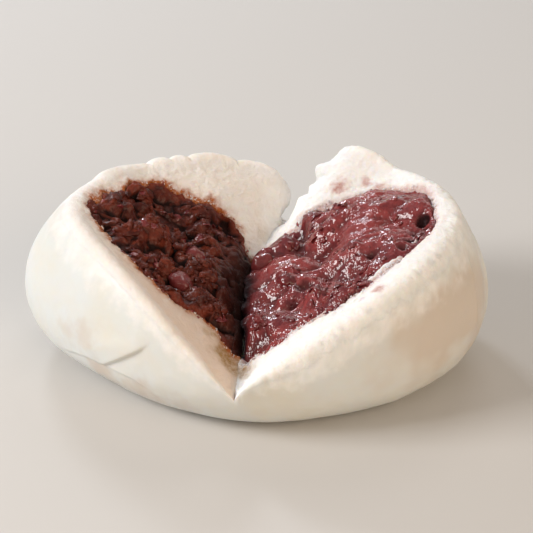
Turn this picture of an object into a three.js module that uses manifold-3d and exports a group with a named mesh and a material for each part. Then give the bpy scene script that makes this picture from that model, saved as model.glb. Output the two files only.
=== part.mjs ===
import * as THREE from "three";
import Module from "manifold-3d";

// A steamed bun torn open from above. Two halves of dough still hold together underneath, and the coarse
// bean paste shows on both torn faces. Lengths are in millimetres and angles in degrees, +Z is up, +Y is
// the back, and the origin is the middle of the flat underside.

// Outer body: radii of the plan at its widest level
const RADIUS_RIGHT = 57.5;
const RADIUS_LEFT = 62.6;
const RADIUS_FRONT = 46.5;
const RADIUS_BACK = 45.5;
const WIDEST_LEVEL = 17.5;
const SHOULDER_LEVEL = 42.3;

// Roundness of the plan: 2 is an ellipse, less is a blunt lozenge
const ROUNDNESS_BACK = 2.2;
const ROUNDNESS_FRONT_RIGHT = 1.85;
const ROUNDNESS_FRONT_LEFT = 1.56;

// Share of the widest radius that is left at the underside and at the shoulder
const UNDERSIDE_SHARE = 0.66;
const UNDERSIDE_ROUNDNESS = 2.2;
const SHOULDER_SHARE_RIGHT = 0.838;
const SHOULDER_SHARE_LEFT = 0.755;
const SHOULDER_SHARE_ENDS = 0.87;

// Tear: a low lip in front, a low notch behind, and a crease between them along the bottom
const LIP_X = -1.75;
const LIP_LEVEL = 11.8;
const NOTCH_X = 2.95;
const NOTCH_LEVEL = 15;
const CREASE_SAG = 4.8;
const CREASE_LIFT = 2.3;

// Rim of the two halves: level at the side, and how fast it rises from the lip and from the notch
const RIM_LEVEL_RIGHT = 41.4;
const RIM_LEVEL_LEFT = 39.2;
const RISE_LIP_RIGHT = 0.7;
const RISE_LIP_LEFT = 2;
const RISE_NOTCH_RIGHT = 5.5;
const RISE_NOTCH_LEFT = 0.16;

// Swells and dips of the rim: height, place round the rim (0 lip, 180 notch) and width
const RIM_SWELLS_RIGHT = [
  { height: 3.7, place: 152, width: 17 },
  { height: -2, place: 137, width: 7 },
  { height: 0.8, place: 166, width: 6 },
  { height: 0.6, place: 104, width: 8 },
];
const RIM_SWELLS_LEFT = [
  { height: 1.1, place: 150, width: 20 },
  { height: 1, place: 78, width: 22 },
  { height: 0.6, place: 112, width: 6 },
  { height: -0.6, place: 128, width: 6 },
];

// Rounding of the rim and the share of it that the crest stands higher, and soft waves of the torn dough
const RIM_ROUNDING = 4.6;
const CREST_SHARE = 0.25;
const ENDS_ANGLE = 20;
const TORN_WAVE = 0.55;
const TORN_WAVE_LENGTH = 16;

// Fold pinched into the skin low on the left half, and a ridge down the skin of the right half
const FOLD = {
  fromAngle: -148,
  toAngle: -119,
  fromLevel: 13.3,
  toLevel: 21.6,
  width: 2.4,
  height: 1.8,
  groove: 1,
};
const RIDGE = {
  fromAngle: 9,
  toAngle: -3,
  fromLevel: 35,
  toLevel: 11,
  width: 2,
  height: 0.8,
  groove: 0.3,
};

// Paste: outlines on the torn faces as [share of the rim from lip to notch, share from rim to crease]
const PASTE_RIGHT = {
  outer: [[0.24, 0.42], [0.28, 0.29], [0.34, 0.225], [0.42, 0.145], [0.5, 0.11], [0.6, 0.08]],
  front: [[0.24, 0.42], [0.22, 0.54], [0.185, 0.62], [0.165, 0.75], [0.145, 0.88], [0.155, 1]],
  back: [[0.6, 0.08], [0.645, 0.19], [0.675, 0.3], [0.71, 0.42], [0.735, 0.58], [0.725, 0.74], [0.755, 1]],
};
const PASTE_LEFT = {
  outer: [[0.27, 0.38], [0.31, 0.315], [0.36, 0.25], [0.42, 0.2], [0.46, 0.135], [0.51, 0.09], [0.61, 0.11]],
  front: [[0.27, 0.38], [0.255, 0.5], [0.27, 0.62], [0.255, 0.73], [0.21, 0.84], [0.16, 1]],
  back: [[0.61, 0.11], [0.655, 0.18], [0.68, 0.29], [0.705, 0.42], [0.735, 0.58], [0.725, 0.78], [0.67, 1]],
};
const PASTE_EDGE_STAND = 0.65;
const PASTE_EDGE_DEPTH = 1.4;
const PASTE_CROWN = 2.2;
const PASTE_DEPTH = 12;
const DOUGH_UNDER_PASTE = 7.4;
const PASTE_GAP = 0.35;
const HOLLOW_EDGE_GAPS = 3;
const HOLLOW_CLEARANCE = 7;

// Beans that stand out of the paste as blunt domes
const BEAN_ROWS = 9;
const BEAN_COLUMNS = 6;
const BEAN_LENGTH = 8.6;
const BEAN_WIDTH = 6.6;
const BEAN_STAND = 2.7;
const BEAN_SPREAD = 0.4;
const EDGE_SHARE = 1 / 9;

// Fineness of the meshes
const COLUMNS_PER_HALF = 44;
const SKIN_RINGS = 13;
const ROUNDING_RINGS = 4;
const FACE_RINGS = 7;
const RIM_SAMPLES = 3000;
const PASTE_ROWS = 42;
const PASTE_COLUMNS = 24;

// The plan's own centre stands this far from the middle of the flat underside
const PLAN_CENTRE = new THREE.Vector3(1.7, 0.3, 0);

const RIGHT = {
  sign: 1,
  rimLevel: RIM_LEVEL_RIGHT,
  swells: RIM_SWELLS_RIGHT,
  paste: PASTE_RIGHT,
  riseFromLip: (u) => u ** RISE_LIP_RIGHT,
  riseFromNotch: (u) => 1 - (1 - u) ** RISE_NOTCH_RIGHT,
};
const LEFT = {
  sign: -1,
  rimLevel: RIM_LEVEL_LEFT,
  swells: RIM_SWELLS_LEFT,
  paste: PASTE_LEFT,
  riseFromLip: (u) => 1 - (1 - u) ** RISE_LIP_LEFT,
  riseFromNotch: (u) => u ** RISE_NOTCH_LEFT,
};

const clamp = (x, low, high) => Math.min(high, Math.max(low, x));
const mix = (from, to, share) => from + (to - from) * share;
const radians = (angle) => (angle * Math.PI) / 180;
const bell = (x, width) => Math.exp(-((x / width) ** 2));

// Plan of the widest level: a superellipse whose radii and roundness change from quadrant to quadrant
function planRadius(angle) {
  const c = Math.cos(angle);
  const s = Math.sin(angle);
  const across = c >= 0 ? RADIUS_RIGHT : RADIUS_LEFT;
  const along = s >= 0 ? RADIUS_BACK : RADIUS_FRONT;
  const frontRoundness = c >= 0 ? ROUNDNESS_FRONT_RIGHT : ROUNDNESS_FRONT_LEFT;
  const n = s >= 0 ? ROUNDNESS_BACK : frontRoundness;
  return (Math.abs(c / across) ** n + Math.abs(s / along) ** n) ** (-1 / n);
}

// Share of the plan radius at a level: a quarter superellipse below the widest level, a parabola above it
function levelShare(angle, level) {
  const c = Math.cos(angle);
  const s = Math.sin(angle);
  if (level < WIDEST_LEVEL) {
    const drop = 1 - clamp(level / WIDEST_LEVEL, 0, 1);
    const arc = (1 - drop ** UNDERSIDE_ROUNDNESS) ** (1 / UNDERSIDE_ROUNDNESS);
    return mix(UNDERSIDE_SHARE, 1, arc);
  }
  const side = c >= 0 ? SHOULDER_SHARE_RIGHT : SHOULDER_SHARE_LEFT;
  const shoulder = SHOULDER_SHARE_ENDS * s * s + side * c * c;
  const climb = (level - WIDEST_LEVEL) / (SHOULDER_LEVEL - WIDEST_LEVEL);
  return 1 - (1 - shoulder) * climb ** 2;
}

// Relief along a line drawn on the skin: a ridge with a groove under it
function lineRelief(line, angle, level) {
  const degrees = (angle * 180) / Math.PI;
  const turn = line.toAngle - line.fromAngle;
  const climb = line.toLevel - line.fromLevel;
  const length = Math.hypot(turn, climb);
  const along = ((degrees - line.fromAngle) * turn + (level - line.fromLevel) * climb) / length ** 2;
  const across = ((level - line.fromLevel) * turn - (degrees - line.fromAngle) * climb) / length;
  const window = clamp(4 * along * (1 - along), 0, 1);
  const apart = 0.6 * line.width;
  const ridge = bell(across - apart, line.width);
  const trough = bell(across + apart, line.width);
  return line.height * window * (ridge - line.groove * trough);
}

function skinPoint(angle, level) {
  const wrapped = angle > Math.PI ? angle - 2 * Math.PI : angle;
  const relief = lineRelief(FOLD, wrapped, level) + lineRelief(RIDGE, wrapped, level);
  const r = planRadius(angle) * levelShare(angle, level) + relief;
  return new THREE.Vector3(r * Math.cos(angle), r * Math.sin(angle), level);
}

// Level of the rim at an angle round it, 0 at the lip and 180 at the notch
function rimLevel(side, place) {
  const u = Math.sin(radians(place));
  const fromLip = place < 90;
  const low = fromLip ? LIP_LEVEL : NOTCH_LEVEL;
  const rise = fromLip ? side.riseFromLip(u) : side.riseFromNotch(u);
  const ends = clamp(place / ENDS_ANGLE, 0, 1) * clamp((180 - place) / ENDS_ANGLE, 0, 1);
  let level = low + (side.rimLevel - low) * rise;
  for (const swell of side.swells) level += ends * swell.height * bell(place - swell.place, swell.width);
  return level;
}

const LIP_ANGLE = Math.atan2(-RADIUS_FRONT, LIP_X);
const NOTCH_ANGLE = Math.atan2(RADIUS_BACK, NOTCH_X);

function planAngle(side, share) {
  const start = side === RIGHT ? LIP_ANGLE : LIP_ANGLE + 2 * Math.PI;
  return mix(start, NOTCH_ANGLE, share);
}

// Rim as a table by its own length, so that a share of the rim is a share of its length
function measureRim(side) {
  const table = [];
  let length = 0;
  for (let i = 0; i <= RIM_SAMPLES; i++) {
    const place = (180 * i) / RIM_SAMPLES;
    const angle = planAngle(side, i / RIM_SAMPLES);
    const level = rimLevel(side, place);
    const point = skinPoint(angle, level);
    if (i > 0) length += point.distanceTo(table[i - 1].point);
    table.push({ angle, level, point, length });
  }
  return table;
}
RIGHT.rim = measureRim(RIGHT);
LEFT.rim = measureRim(LEFT);

function rimAt(side, share) {
  const table = side.rim;
  const wanted = clamp(share, 0, 1) * table[RIM_SAMPLES].length;
  let low = 0;
  let high = RIM_SAMPLES;
  while (high - low > 1) {
    const middle = (low + high) >> 1;
    if (table[middle].length <= wanted) low = middle;
    else high = middle;
  }
  const from = table[low];
  const to = table[high];
  const part = (wanted - from.length) / (to.length - from.length);
  return {
    angle: mix(from.angle, to.angle, part),
    level: mix(from.level, to.level, part),
    point: from.point.clone().lerp(to.point, part),
  };
}

const LIP_POINT = RIGHT.rim[0].point;
const NOTCH_POINT = RIGHT.rim[RIM_SAMPLES].point;

// Crease along the bottom of the tear, bent to the left and lifted between lip and notch
function creasePoint(share) {
  const point = LIP_POINT.clone().lerp(NOTCH_POINT, share);
  const swell = Math.sin(Math.PI * clamp(share, 0, 1));
  const bend = Math.sin(Math.PI * clamp(share, 0, 1) ** 1.5);
  point.x -= CREASE_SAG * bend;
  point.z += CREASE_LIFT * swell ** 0.7;
  return point;
}

// Torn face: straight lines from the rim to the crease, with soft waves that die out at both ends
function facePoint(side, share, depth) {
  const point = rimAt(side, share).point.lerp(creasePoint(share), depth);
  const wave =
    Math.sin((2 * Math.PI * point.x) / TORN_WAVE_LENGTH + 1.3) *
    Math.cos((2 * Math.PI * point.y) / TORN_WAVE_LENGTH + 0.4);
  point.z += TORN_WAVE * wave * 4 * depth * (1 - depth) * Math.sin(Math.PI * clamp(share, 0, 1));
  return point;
}

function faceNormal(side, share, depth) {
  const step = 0.004;
  const along = facePoint(side, share + step, depth).sub(facePoint(side, share - step, depth));
  const down = facePoint(side, share, depth + step).sub(facePoint(side, share, depth - step));
  return along.cross(down).multiplyScalar(side.sign).normalize();
}

// One profile of a half, from the edge of the underside up the skin, over the rounded rim, to the crease
function profile(side, share) {
  const rim = rimAt(side, share);
  const ends = clamp((180 * share) / ENDS_ANGLE, 0, 1) * clamp((180 * (1 - share)) / ENDS_ANGLE, 0, 1);
  const rounding = RIM_ROUNDING * ends;
  const footAngle = planAngle(side, share);
  const points = [];
  const topLevel = rim.level - rounding;
  for (let i = 0; i <= SKIN_RINGS; i++) {
    const level = topLevel * (i / SKIN_RINGS) ** 1.5;
    const angle = mix(footAngle, rim.angle, level / rim.level);
    points.push(skinPoint(angle, level));
  }
  const outside = points[SKIN_RINGS];
  const crest = rim.point.clone();
  crest.z += CREST_SHARE * rounding;
  const depth = rounding / crest.distanceTo(creasePoint(share)) || 0;
  const inside = facePoint(side, share, depth);
  for (let i = 1; i <= ROUNDING_RINGS; i++) {
    const t = i / ROUNDING_RINGS;
    const first = outside.clone().lerp(crest, t);
    const second = crest.clone().lerp(inside, t);
    points.push(first.lerp(second, t));
  }
  for (let i = 1; i < FACE_RINGS; i++) {
    points.push(facePoint(side, share, mix(depth, 1, i / FACE_RINGS)));
  }
  return points;
}

const wasm = await Module();
wasm.setup();

function solidOf(points, triangles) {
  const vertProperties = new Float32Array(points.flatMap((p) => [p.x, p.y, p.z]));
  const triVerts = new Uint32Array(triangles.flat());
  return new wasm.Manifold(new wasm.Mesh({ numProp: 3, vertProperties, triVerts }));
}

// Body of both halves: profiles all the way round, closed by the crease that they share
function bodySolid() {
  const points = [];
  const triangles = [];
  const add = (point) => points.push(point) - 1;
  const centre = add(new THREE.Vector3(-PLAN_CENTRE.x, -PLAN_CENTRE.y, 0));
  const lip = add(LIP_POINT.clone());
  const notch = add(NOTCH_POINT.clone());
  const crease = [lip];
  for (let k = 1; k < COLUMNS_PER_HALF; k++) crease.push(add(creasePoint(k / COLUMNS_PER_HALF)));
  crease.push(notch);

  const column = (side, k) => {
    const all = profile(side, k / COLUMNS_PER_HALF);
    const pointed = k === 0 || k === COLUMNS_PER_HALF;
    const indices = all.map((point, i) => (pointed && i >= SKIN_RINGS ? crease[k] : add(point)));
    return [...indices, crease[k]];
  };
  const columns = [];
  for (let k = 0; k <= COLUMNS_PER_HALF; k++) columns.push(column(RIGHT, k));
  for (let k = COLUMNS_PER_HALF - 1; k > 0; k--) columns.push(column(LEFT, k));

  const face = (a, b, c) => {
    if (a !== b && b !== c && c !== a) triangles.push([a, b, c]);
  };
  columns.forEach((here, k) => {
    const next = columns[(k + 1) % columns.length];
    face(centre, next[0], here[0]);
    for (let i = 0; i + 1 < here.length; i++) {
      face(here[i], next[i], next[i + 1]);
      face(here[i], next[i + 1], here[i + 1]);
    }
  });
  return solidOf(points, triangles);
}

// Place on a torn face of a point of the paste's four-sided patch, blended from its four edges
function pastePlace(side, a, b) {
  const { outer, front, back } = side.paste;
  const curve = (corners) => new THREE.SplineCurve(corners.map(([x, y]) => new THREE.Vector2(x, y)));
  side.edges ??= { outer: curve(outer), front: curve(front), back: curve(back) };
  const creaseEdge = new THREE.Vector2(mix(front.at(-1)[0], back.at(-1)[0], a), 1);
  const place = side.edges.outer.getPoint(a).multiplyScalar(1 - b);
  place.addScaledVector(creaseEdge, b);
  place.addScaledVector(side.edges.front.getPoint(b), 1 - a);
  place.addScaledVector(side.edges.back.getPoint(b), a);
  place.x -= mix(mix(outer[0][0], outer.at(-1)[0], a), mix(front.at(-1)[0], back.at(-1)[0], a), b);
  place.y -= mix(mix(outer[0][1], outer.at(-1)[1], a), 1, b);
  return place;
}

// Repeatable scatter between 0 and 1
function scatter(i, j, salt) {
  const x = Math.sin(i * 127.1 + j * 311.7 + salt * 74.7) * 43758.5453;
  return x - Math.floor(x);
}

// Beans on one face, each with its middle, its two directions in the face and its size
function layBeans(side) {
  const beans = [];
  for (let i = 0; i < BEAN_ROWS; i++) {
    for (let j = 0; j < BEAN_COLUMNS; j++) {
      const salt = 5 + side.sign;
      const a = (i + 0.15 + 0.7 * scatter(i, j, salt)) / BEAN_ROWS;
      const b = (j + 0.15 + 0.7 * scatter(i, j, salt + 10) + 0.25 * (i % 2)) / BEAN_COLUMNS;
      const place = pastePlace(side, clamp(a, 0, 1), clamp(b, 0, 1));
      const normal = faceNormal(side, place.x, clamp(place.y, 0.02, 0.98));
      const turn = Math.PI * scatter(i, j, salt + 20);
      const level = new THREE.Vector3(-normal.y, normal.x, 0).normalize();
      const long = level.applyAxisAngle(normal, turn);
      beans.push({
        middle: facePoint(side, place.x, place.y),
        long,
        wide: normal.clone().cross(long),
        size: 1 + BEAN_SPREAD * (scatter(i, j, salt + 30) - 0.5),
      });
    }
  }
  return beans;
}

function beanHeight(beans, point) {
  let height = 0;
  for (const bean of beans) {
    const offset = point.clone().sub(bean.middle);
    const x = offset.dot(bean.long) / (0.5 * BEAN_LENGTH * bean.size);
    const y = offset.dot(bean.wide) / (0.5 * BEAN_WIDTH * bean.size);
    const inside = 1 - x * x - y * y;
    if (inside > 0) height = Math.max(height, BEAN_STAND * bean.size * Math.sqrt(inside));
  }
  return height;
}

// Keeps a point on its own half of the tear, clear of the crease
function keepClear(side, point, gap) {
  const share = clamp((point.y - LIP_POINT.y) / (NOTCH_POINT.y - LIP_POINT.y), 0, 1);
  const limit = creasePoint(share).x + side.sign * gap;
  point.x = side.sign > 0 ? Math.max(point.x, limit) : Math.min(point.x, limit);
  return point;
}

function pasteTop(side, beans, a, b) {
  const place = pastePlace(side, a, b);
  const point = facePoint(side, place.x, place.y);
  const normal = faceNormal(side, place.x, clamp(place.y, 0.02, 0.98));
  const direction = normal.lerp(new THREE.Vector3(0, 0, 1), b * b).normalize();
  const nearest = Math.min(a, 1 - a, b);
  const edge = clamp(nearest / EDGE_SHARE, 0, 1);
  const crown = PASTE_CROWN * 4 * a * (1 - a) * Math.sin(Math.PI * Math.min(1, b + 0.1));
  const height = PASTE_EDGE_STAND + edge * (crown + beanHeight(beans, point));
  return keepClear(side, point.addScaledVector(direction, height), 0.5 * PASTE_GAP);
}

function pasteBottom(side, a, b) {
  const place = pastePlace(side, a, b);
  const point = facePoint(side, place.x, place.y);
  const fullness = 4 * a * (1 - a) * (1 - (1 - b) ** 2);
  const depth = PASTE_EDGE_DEPTH + PASTE_DEPTH * fullness;
  point.z = Math.min(point.z - PASTE_EDGE_DEPTH, Math.max(point.z - depth, DOUGH_UNDER_PASTE));
  return keepClear(side, point, 0.5 * PASTE_GAP);
}

// Corners and edge middles of a bottom cell, which spans two rows and two columns
const AROUND = [[0, 0], [0, 1], [0, 2], [1, 2], [2, 2], [2, 1], [2, 0], [1, 0]];
const cellKey = (i, j) => i * (PASTE_COLUMNS + 1) + j;

// Closed patch between a fine top and a bottom at half its fineness, joined by a wall round the edge
function patchSolid(side, top, bottom) {
  const points = [];
  const triangles = [];
  const rows = PASTE_ROWS;
  const columns = PASTE_COLUMNS;
  const onEdge = (i, j) => i === 0 || j === 0 || i === rows || j === columns;
  const indices = { top: new Map(), bottom: new Map() };
  const vertex = (layer, i, j) => {
    const key = cellKey(i, j);
    if (!indices[layer].has(key)) {
      const point = layer === "top" ? top(i, j) : bottom(i, j);
      indices[layer].set(key, points.push(point) - 1);
    }
    return indices[layer].get(key);
  };
  const face = (a, b, c) => triangles.push(side.sign > 0 ? [a, b, c] : [a, c, b]);

  for (let i = 0; i < rows; i++) {
    for (let j = 0; j < columns; j++) {
      face(vertex("top", i, j), vertex("top", i + 1, j), vertex("top", i + 1, j + 1));
      face(vertex("top", i, j), vertex("top", i + 1, j + 1), vertex("top", i, j + 1));
    }
  }
  for (let i = 0; i < rows; i += 2) {
    for (let j = 0; j < columns; j += 2) {
      const kept = AROUND.map(([down, along]) => [i + down, j + along])
        .filter(([r, c], n) => n % 2 === 0 || onEdge(r, c))
        .map(([r, c]) => vertex("bottom", r, c));
      if (kept.length === 4) {
        face(kept[0], kept[1], kept[2]);
        face(kept[0], kept[2], kept[3]);
        continue;
      }
      const middle = vertex("bottom", i + 1, j + 1);
      kept.forEach((here, n) => face(middle, here, kept[(n + 1) % kept.length]));
    }
  }
  const border = edgeCells();
  border.forEach(([i, j], n) => {
    const [nextI, nextJ] = border[(n + 1) % border.length];
    const high = [vertex("top", i, j), vertex("top", nextI, nextJ)];
    const low = [vertex("bottom", i, j), vertex("bottom", nextI, nextJ)];
    face(low[0], low[1], high[1]);
    face(low[0], high[1], high[0]);
  });
  return solidOf(points, triangles);
}

// Edge of the patch in order: outer edge, back end, crease, front end
function edgeCells() {
  const cells = [];
  for (let i = 0; i < PASTE_ROWS; i++) cells.push([i, 0]);
  for (let j = 0; j < PASTE_COLUMNS; j++) cells.push([PASTE_ROWS, j]);
  for (let i = PASTE_ROWS; i > 0; i--) cells.push([i, PASTE_COLUMNS]);
  for (let j = PASTE_COLUMNS; j > 0; j--) cells.push([0, j]);
  return cells;
}

function pasteSolid(side) {
  const beans = layBeans(side);
  const top = (i, j) => pasteTop(side, beans, i / PASTE_ROWS, j / PASTE_COLUMNS);
  const bottom = (i, j) => pasteBottom(side, i / PASTE_ROWS, j / PASTE_COLUMNS);
  return patchSolid(side, top, bottom);
}

// Hollow for the paste: its bottom lowered, its edge moved outwards in plan, and an open top above the face
function hollowSolid(side) {
  const border = edgeCells();
  const plain = (i, j) => pasteBottom(side, i / PASTE_ROWS, j / PASTE_COLUMNS);
  const outwards = new Map();
  border.forEach(([i, j], n) => {
    const before = plain(...border[(n + border.length - 1) % border.length]);
    const after = plain(...border[(n + 1) % border.length]);
    const along = after.sub(before).setZ(0).normalize();
    const pointed = i % PASTE_ROWS === 0 && j === PASTE_COLUMNS;
    const reach = side.sign * PASTE_GAP * (pointed ? 2 : 1);
    const out = new THREE.Vector3(along.y, -along.x, 0).multiplyScalar(reach);
    outwards.set(cellKey(i, j), out);
  });
  const moved = (point, i, j) => {
    const out = outwards.get(cellKey(i, j));
    return out ? point.add(out) : point;
  };
  const top = (i, j) => {
    const place = pastePlace(side, i / PASTE_ROWS, j / PASTE_COLUMNS);
    const point = facePoint(side, place.x, place.y);
    point.z += HOLLOW_CLEARANCE;
    return moved(point, i, j);
  };
  const bottom = (i, j) => {
    const point = plain(i, j);
    point.z -= PASTE_GAP * (outwards.has(cellKey(i, j)) ? HOLLOW_EDGE_GAPS : 1);
    return moved(point, i, j);
  };
  return patchSolid(side, top, bottom);
}

function meshOf(solid, name, material) {
  const made = solid.getMesh();
  const positions = new Float32Array(made.numVert * 3);
  for (let i = 0; i < made.numVert; i++) {
    const start = i * made.numProp;
    positions.set(made.vertProperties.subarray(start, start + 3), 3 * i);
  }
  const geometry = new THREE.BufferGeometry();
  geometry.setAttribute("position", new THREE.BufferAttribute(positions, 3));
  geometry.setIndex(new THREE.BufferAttribute(new Uint32Array(made.triVerts), 1));
  geometry.translate(PLAN_CENTRE.x, PLAN_CENTRE.y, PLAN_CENTRE.z);
  geometry.computeVertexNormals();
  const mesh = new THREE.Mesh(geometry, material);
  mesh.name = name;
  return mesh;
}

const doughFinish = new THREE.MeshStandardMaterial({ color: "#efe9dd", roughness: 0.55, metalness: 0 });
const moistPasteFinish = new THREE.MeshStandardMaterial({ color: "#6e3238", roughness: 0.3, metalness: 0 });
const darkPasteFinish = new THREE.MeshStandardMaterial({ color: "#3d1a15", roughness: 0.5, metalness: 0 });

const dough = bodySolid().subtract(hollowSolid(RIGHT)).subtract(hollowSolid(LEFT));

const bun = new THREE.Group();
bun.name = "red_bean_bun";
bun.add(meshOf(dough, "dough", doughFinish));
bun.add(meshOf(pasteSolid(RIGHT), "bean_paste_right", moistPasteFinish));
bun.add(meshOf(pasteSolid(LEFT), "bean_paste_left", darkPasteFinish));

export default bun;
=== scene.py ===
"""A steamed red bean bun, torn open from above, dressed for close pictures.

The form repeats the solid model's own formulas: a plan that is a superellipse in each quadrant, a rim that
rises from a front lip and a back notch, and torn faces ruled from the rim down to a crease. Everything is
worked out in millimetres about the plan's centre and turned into metres when a mesh is made.
"""

from __future__ import annotations

import logging
from dataclasses import dataclass
from enum import Enum
from functools import cached_property

import bpy
import numpy as np
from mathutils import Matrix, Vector
from numpy.typing import NDArray


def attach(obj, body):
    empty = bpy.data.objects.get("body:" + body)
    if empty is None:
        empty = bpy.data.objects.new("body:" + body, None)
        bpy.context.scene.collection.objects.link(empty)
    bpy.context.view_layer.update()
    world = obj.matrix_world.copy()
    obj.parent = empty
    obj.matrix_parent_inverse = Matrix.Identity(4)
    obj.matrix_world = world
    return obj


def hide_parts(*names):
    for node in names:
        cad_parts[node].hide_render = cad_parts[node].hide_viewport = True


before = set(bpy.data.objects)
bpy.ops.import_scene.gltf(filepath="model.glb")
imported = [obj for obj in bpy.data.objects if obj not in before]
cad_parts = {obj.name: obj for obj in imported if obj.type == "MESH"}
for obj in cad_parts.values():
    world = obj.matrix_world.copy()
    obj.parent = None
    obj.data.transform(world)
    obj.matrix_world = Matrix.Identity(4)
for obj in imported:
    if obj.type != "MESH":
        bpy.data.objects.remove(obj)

Array = NDArray[np.float64]
Color = tuple[float, float, float, float]

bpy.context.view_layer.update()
LOG = logging.getLogger("red_bean_bun")
MM = 0.001
BODY = "root"


def mix(start: Array | float, end: Array | float, share: Array | float) -> Array:
    """Straight blend: start plus the share of the way to end."""
    return start + (end - start) * share


def smooth_step(value: Array, low: float, high: float) -> Array:
    """Soft step from 0 at low to 1 at high: 3 t squared minus 2 t cubed."""
    t = np.clip((value - low) / (high - low), 0.0, 1.0)
    return t * t * (3.0 - 2.0 * t)


def plateau(value: Array, start: float, full: float, fall: float, end: float) -> Array:
    """Soft window: 0 up to start, 1 from full to fall, and 0 again from end on."""
    return smooth_step(value, start, full) * (1.0 - smooth_step(value, fall, end))


def bell(value: Array, width: float) -> Array:
    """Bell curve of height 1: e to the minus (value / width) squared."""
    return np.exp(-((value / width) ** 2))


def unit(vectors: Array) -> Array:
    """Vectors scaled to length 1."""
    length = np.linalg.norm(vectors, axis=-1, keepdims=True)
    return vectors / np.maximum(length, 1e-9)


def spline(corners: Array, t: Array) -> Array:
    """Uniform Catmull-Rom curve through corners.

    Args:
        corners: Points to pass through, as rows.
        t: Share of the way along, 0 to 1, by corner count.

    Returns:
        Points of the curve, one row for each t.
    """
    last = len(corners) - 1
    place = np.clip(t, 0.0, 1.0) * last
    start = np.minimum(place.astype(int), last - 1)
    w = (place - start)[..., None]
    p0 = corners[np.maximum(start - 1, 0)]
    p1 = corners[start]
    p2 = corners[start + 1]
    p3 = corners[np.minimum(start + 2, last)]
    slope1 = 0.5 * (p2 - p0)
    slope2 = 0.5 * (p3 - p1)
    cubic = 2.0 * (p1 - p2) + slope1 + slope2
    square = 3.0 * (p2 - p1) - 2.0 * slope1 - slope2
    return ((cubic * w + square) * w + slope1) * w + p1


class Noise:
    """Seeded smooth random field in space."""

    gain = 1.6
    layer_shift = 17.3
    billow_shift = 9.1
    billow_sharpness = 2.6
    point_spread = 0.42
    level_spread = 0.5
    facet_keys = (11, 29, 53)
    slope_key = 7
    tone_key = 37
    lowest = -9.0

    def __init__(self, seed: int) -> None:
        """Draws the lattice order and the lattice slopes."""
        draw = np.random.default_rng(seed)
        self.order = draw.permutation(256)
        self.slopes = unit(draw.normal(size=(256, 3)))

    def corner(self, cell: NDArray[np.int64]) -> NDArray[np.int64]:
        """Number from 0 to 255 that belongs to a lattice cell."""
        first = self.order[cell[..., 0] & 255]
        second = self.order[(first + cell[..., 1]) & 255]
        return self.order[(second + cell[..., 2]) & 255]

    def at(self, points: Array, size: float) -> Array:
        """Gradient noise: lattice slopes times offsets, blended by a quintic.

        Args:
            points: Places in millimetres.
            size: Width of one lattice cell.

        Returns:
            Values from about -1 to 1.
        """
        place = points / size
        cell = np.floor(place).astype(np.int64)
        part = place - cell
        fade = part**3 * (part * (part * 6.0 - 15.0) + 10.0)
        total = np.zeros(points.shape[:-1])
        for corner in np.ndindex(2, 2, 2):
            step = np.array(corner)
            slope = self.slopes[self.corner(cell + step)]
            weight = np.prod(np.where(step == 1, fade, 1.0 - fade), axis=-1)
            total += weight * np.sum(slope * (part - step), axis=-1)
        return self.gain * total

    def layers(self, points: Array, size: float, count: int, fade: float = 0.5) -> Array:
        """Sum of noises, each at half the size and fade times the height of the one before."""
        total = np.zeros(points.shape[:-1])
        height = 1.0
        for step in range(count):
            total += height * self.at(points + self.layer_shift * step, size / 2.0**step)
            height *= fade
        return total

    def billow(self, points: Array, size: float, count: int, fade: float = 0.5) -> Array:
        """Puffy noise: round swells between sharp valleys, 1 minus a few times the noise's own size."""
        total = np.zeros(points.shape[:-1])
        height = 1.0
        for step in range(count):
            ridges = np.abs(self.at(points + self.billow_shift * step, size / 2.0**step))
            total += height * (1.0 - self.billow_sharpness * ridges)
            height *= fade
        return total

    def domes(
        self, points: Array, size: float, tilt: float, fall: float, facets: float, melt: float
    ) -> tuple[Array, Array]:
        """Tilted lumps that stand on one random point in each lattice cell.

        A lump's height is its own level, plus a slope times the offset from its point, minus fall times
        the square of the offset, minus facets times the offset's largest share along three random
        directions. Neighbours melt together by the logarithm of their summed exponentials.

        Args:
            points: Places in millimetres.
            size: Width of one lattice cell.
            tilt: Steepness of the slopes.
            fall: Roundness of the lumps.
            facets: Steepness of the flat sides.
            melt: How softly neighbours melt together, from near 0 for crisp edges.

        Returns:
            Height in millimetres, and a random tone of the highest dome.
        """
        place = points / size
        cell = np.floor(place).astype(np.int64)
        total = np.zeros(points.shape[:-1])
        best = np.full(points.shape[:-1], self.lowest)
        tone = np.zeros(points.shape[:-1])
        for step in np.ndindex(3, 3, 3):
            other = cell + np.array(step) - 1
            index = self.corner(other)
            offset = place - (other + 0.5 + self.point_spread * self.slopes[index])
            slope = self.slopes[(self.slope_key * index + 3) & 255]
            level = self.level_spread * (index / 255.0 - 0.5)
            height = level + tilt * np.sum(slope * offset, axis=-1)
            height -= fall * np.sum(offset**2, axis=-1)
            if facets > 0.0:
                turned = [self.slopes[(key * index + 5) & 255] for key in self.facet_keys]
                sides = [np.sum(side * offset, axis=-1) for side in turned]
                height -= facets * np.maximum(np.maximum(sides[0], sides[1]), sides[2])
            tone = np.where(height > best, ((self.tone_key * index) & 255) / 255.0, tone)
            best = np.maximum(best, height)
            total += np.exp(height / melt)
        height = size * melt * np.log(total)
        return height - height.mean(), tone


DOUGH_NOISE = Noise(11)
PASTE_FRAY = Noise(29)


@dataclass(frozen=True)
class Swell:
    """Swell of a rim: its height, its place round the rim in degrees and its width."""

    height: float
    place: float
    width: float


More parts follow.
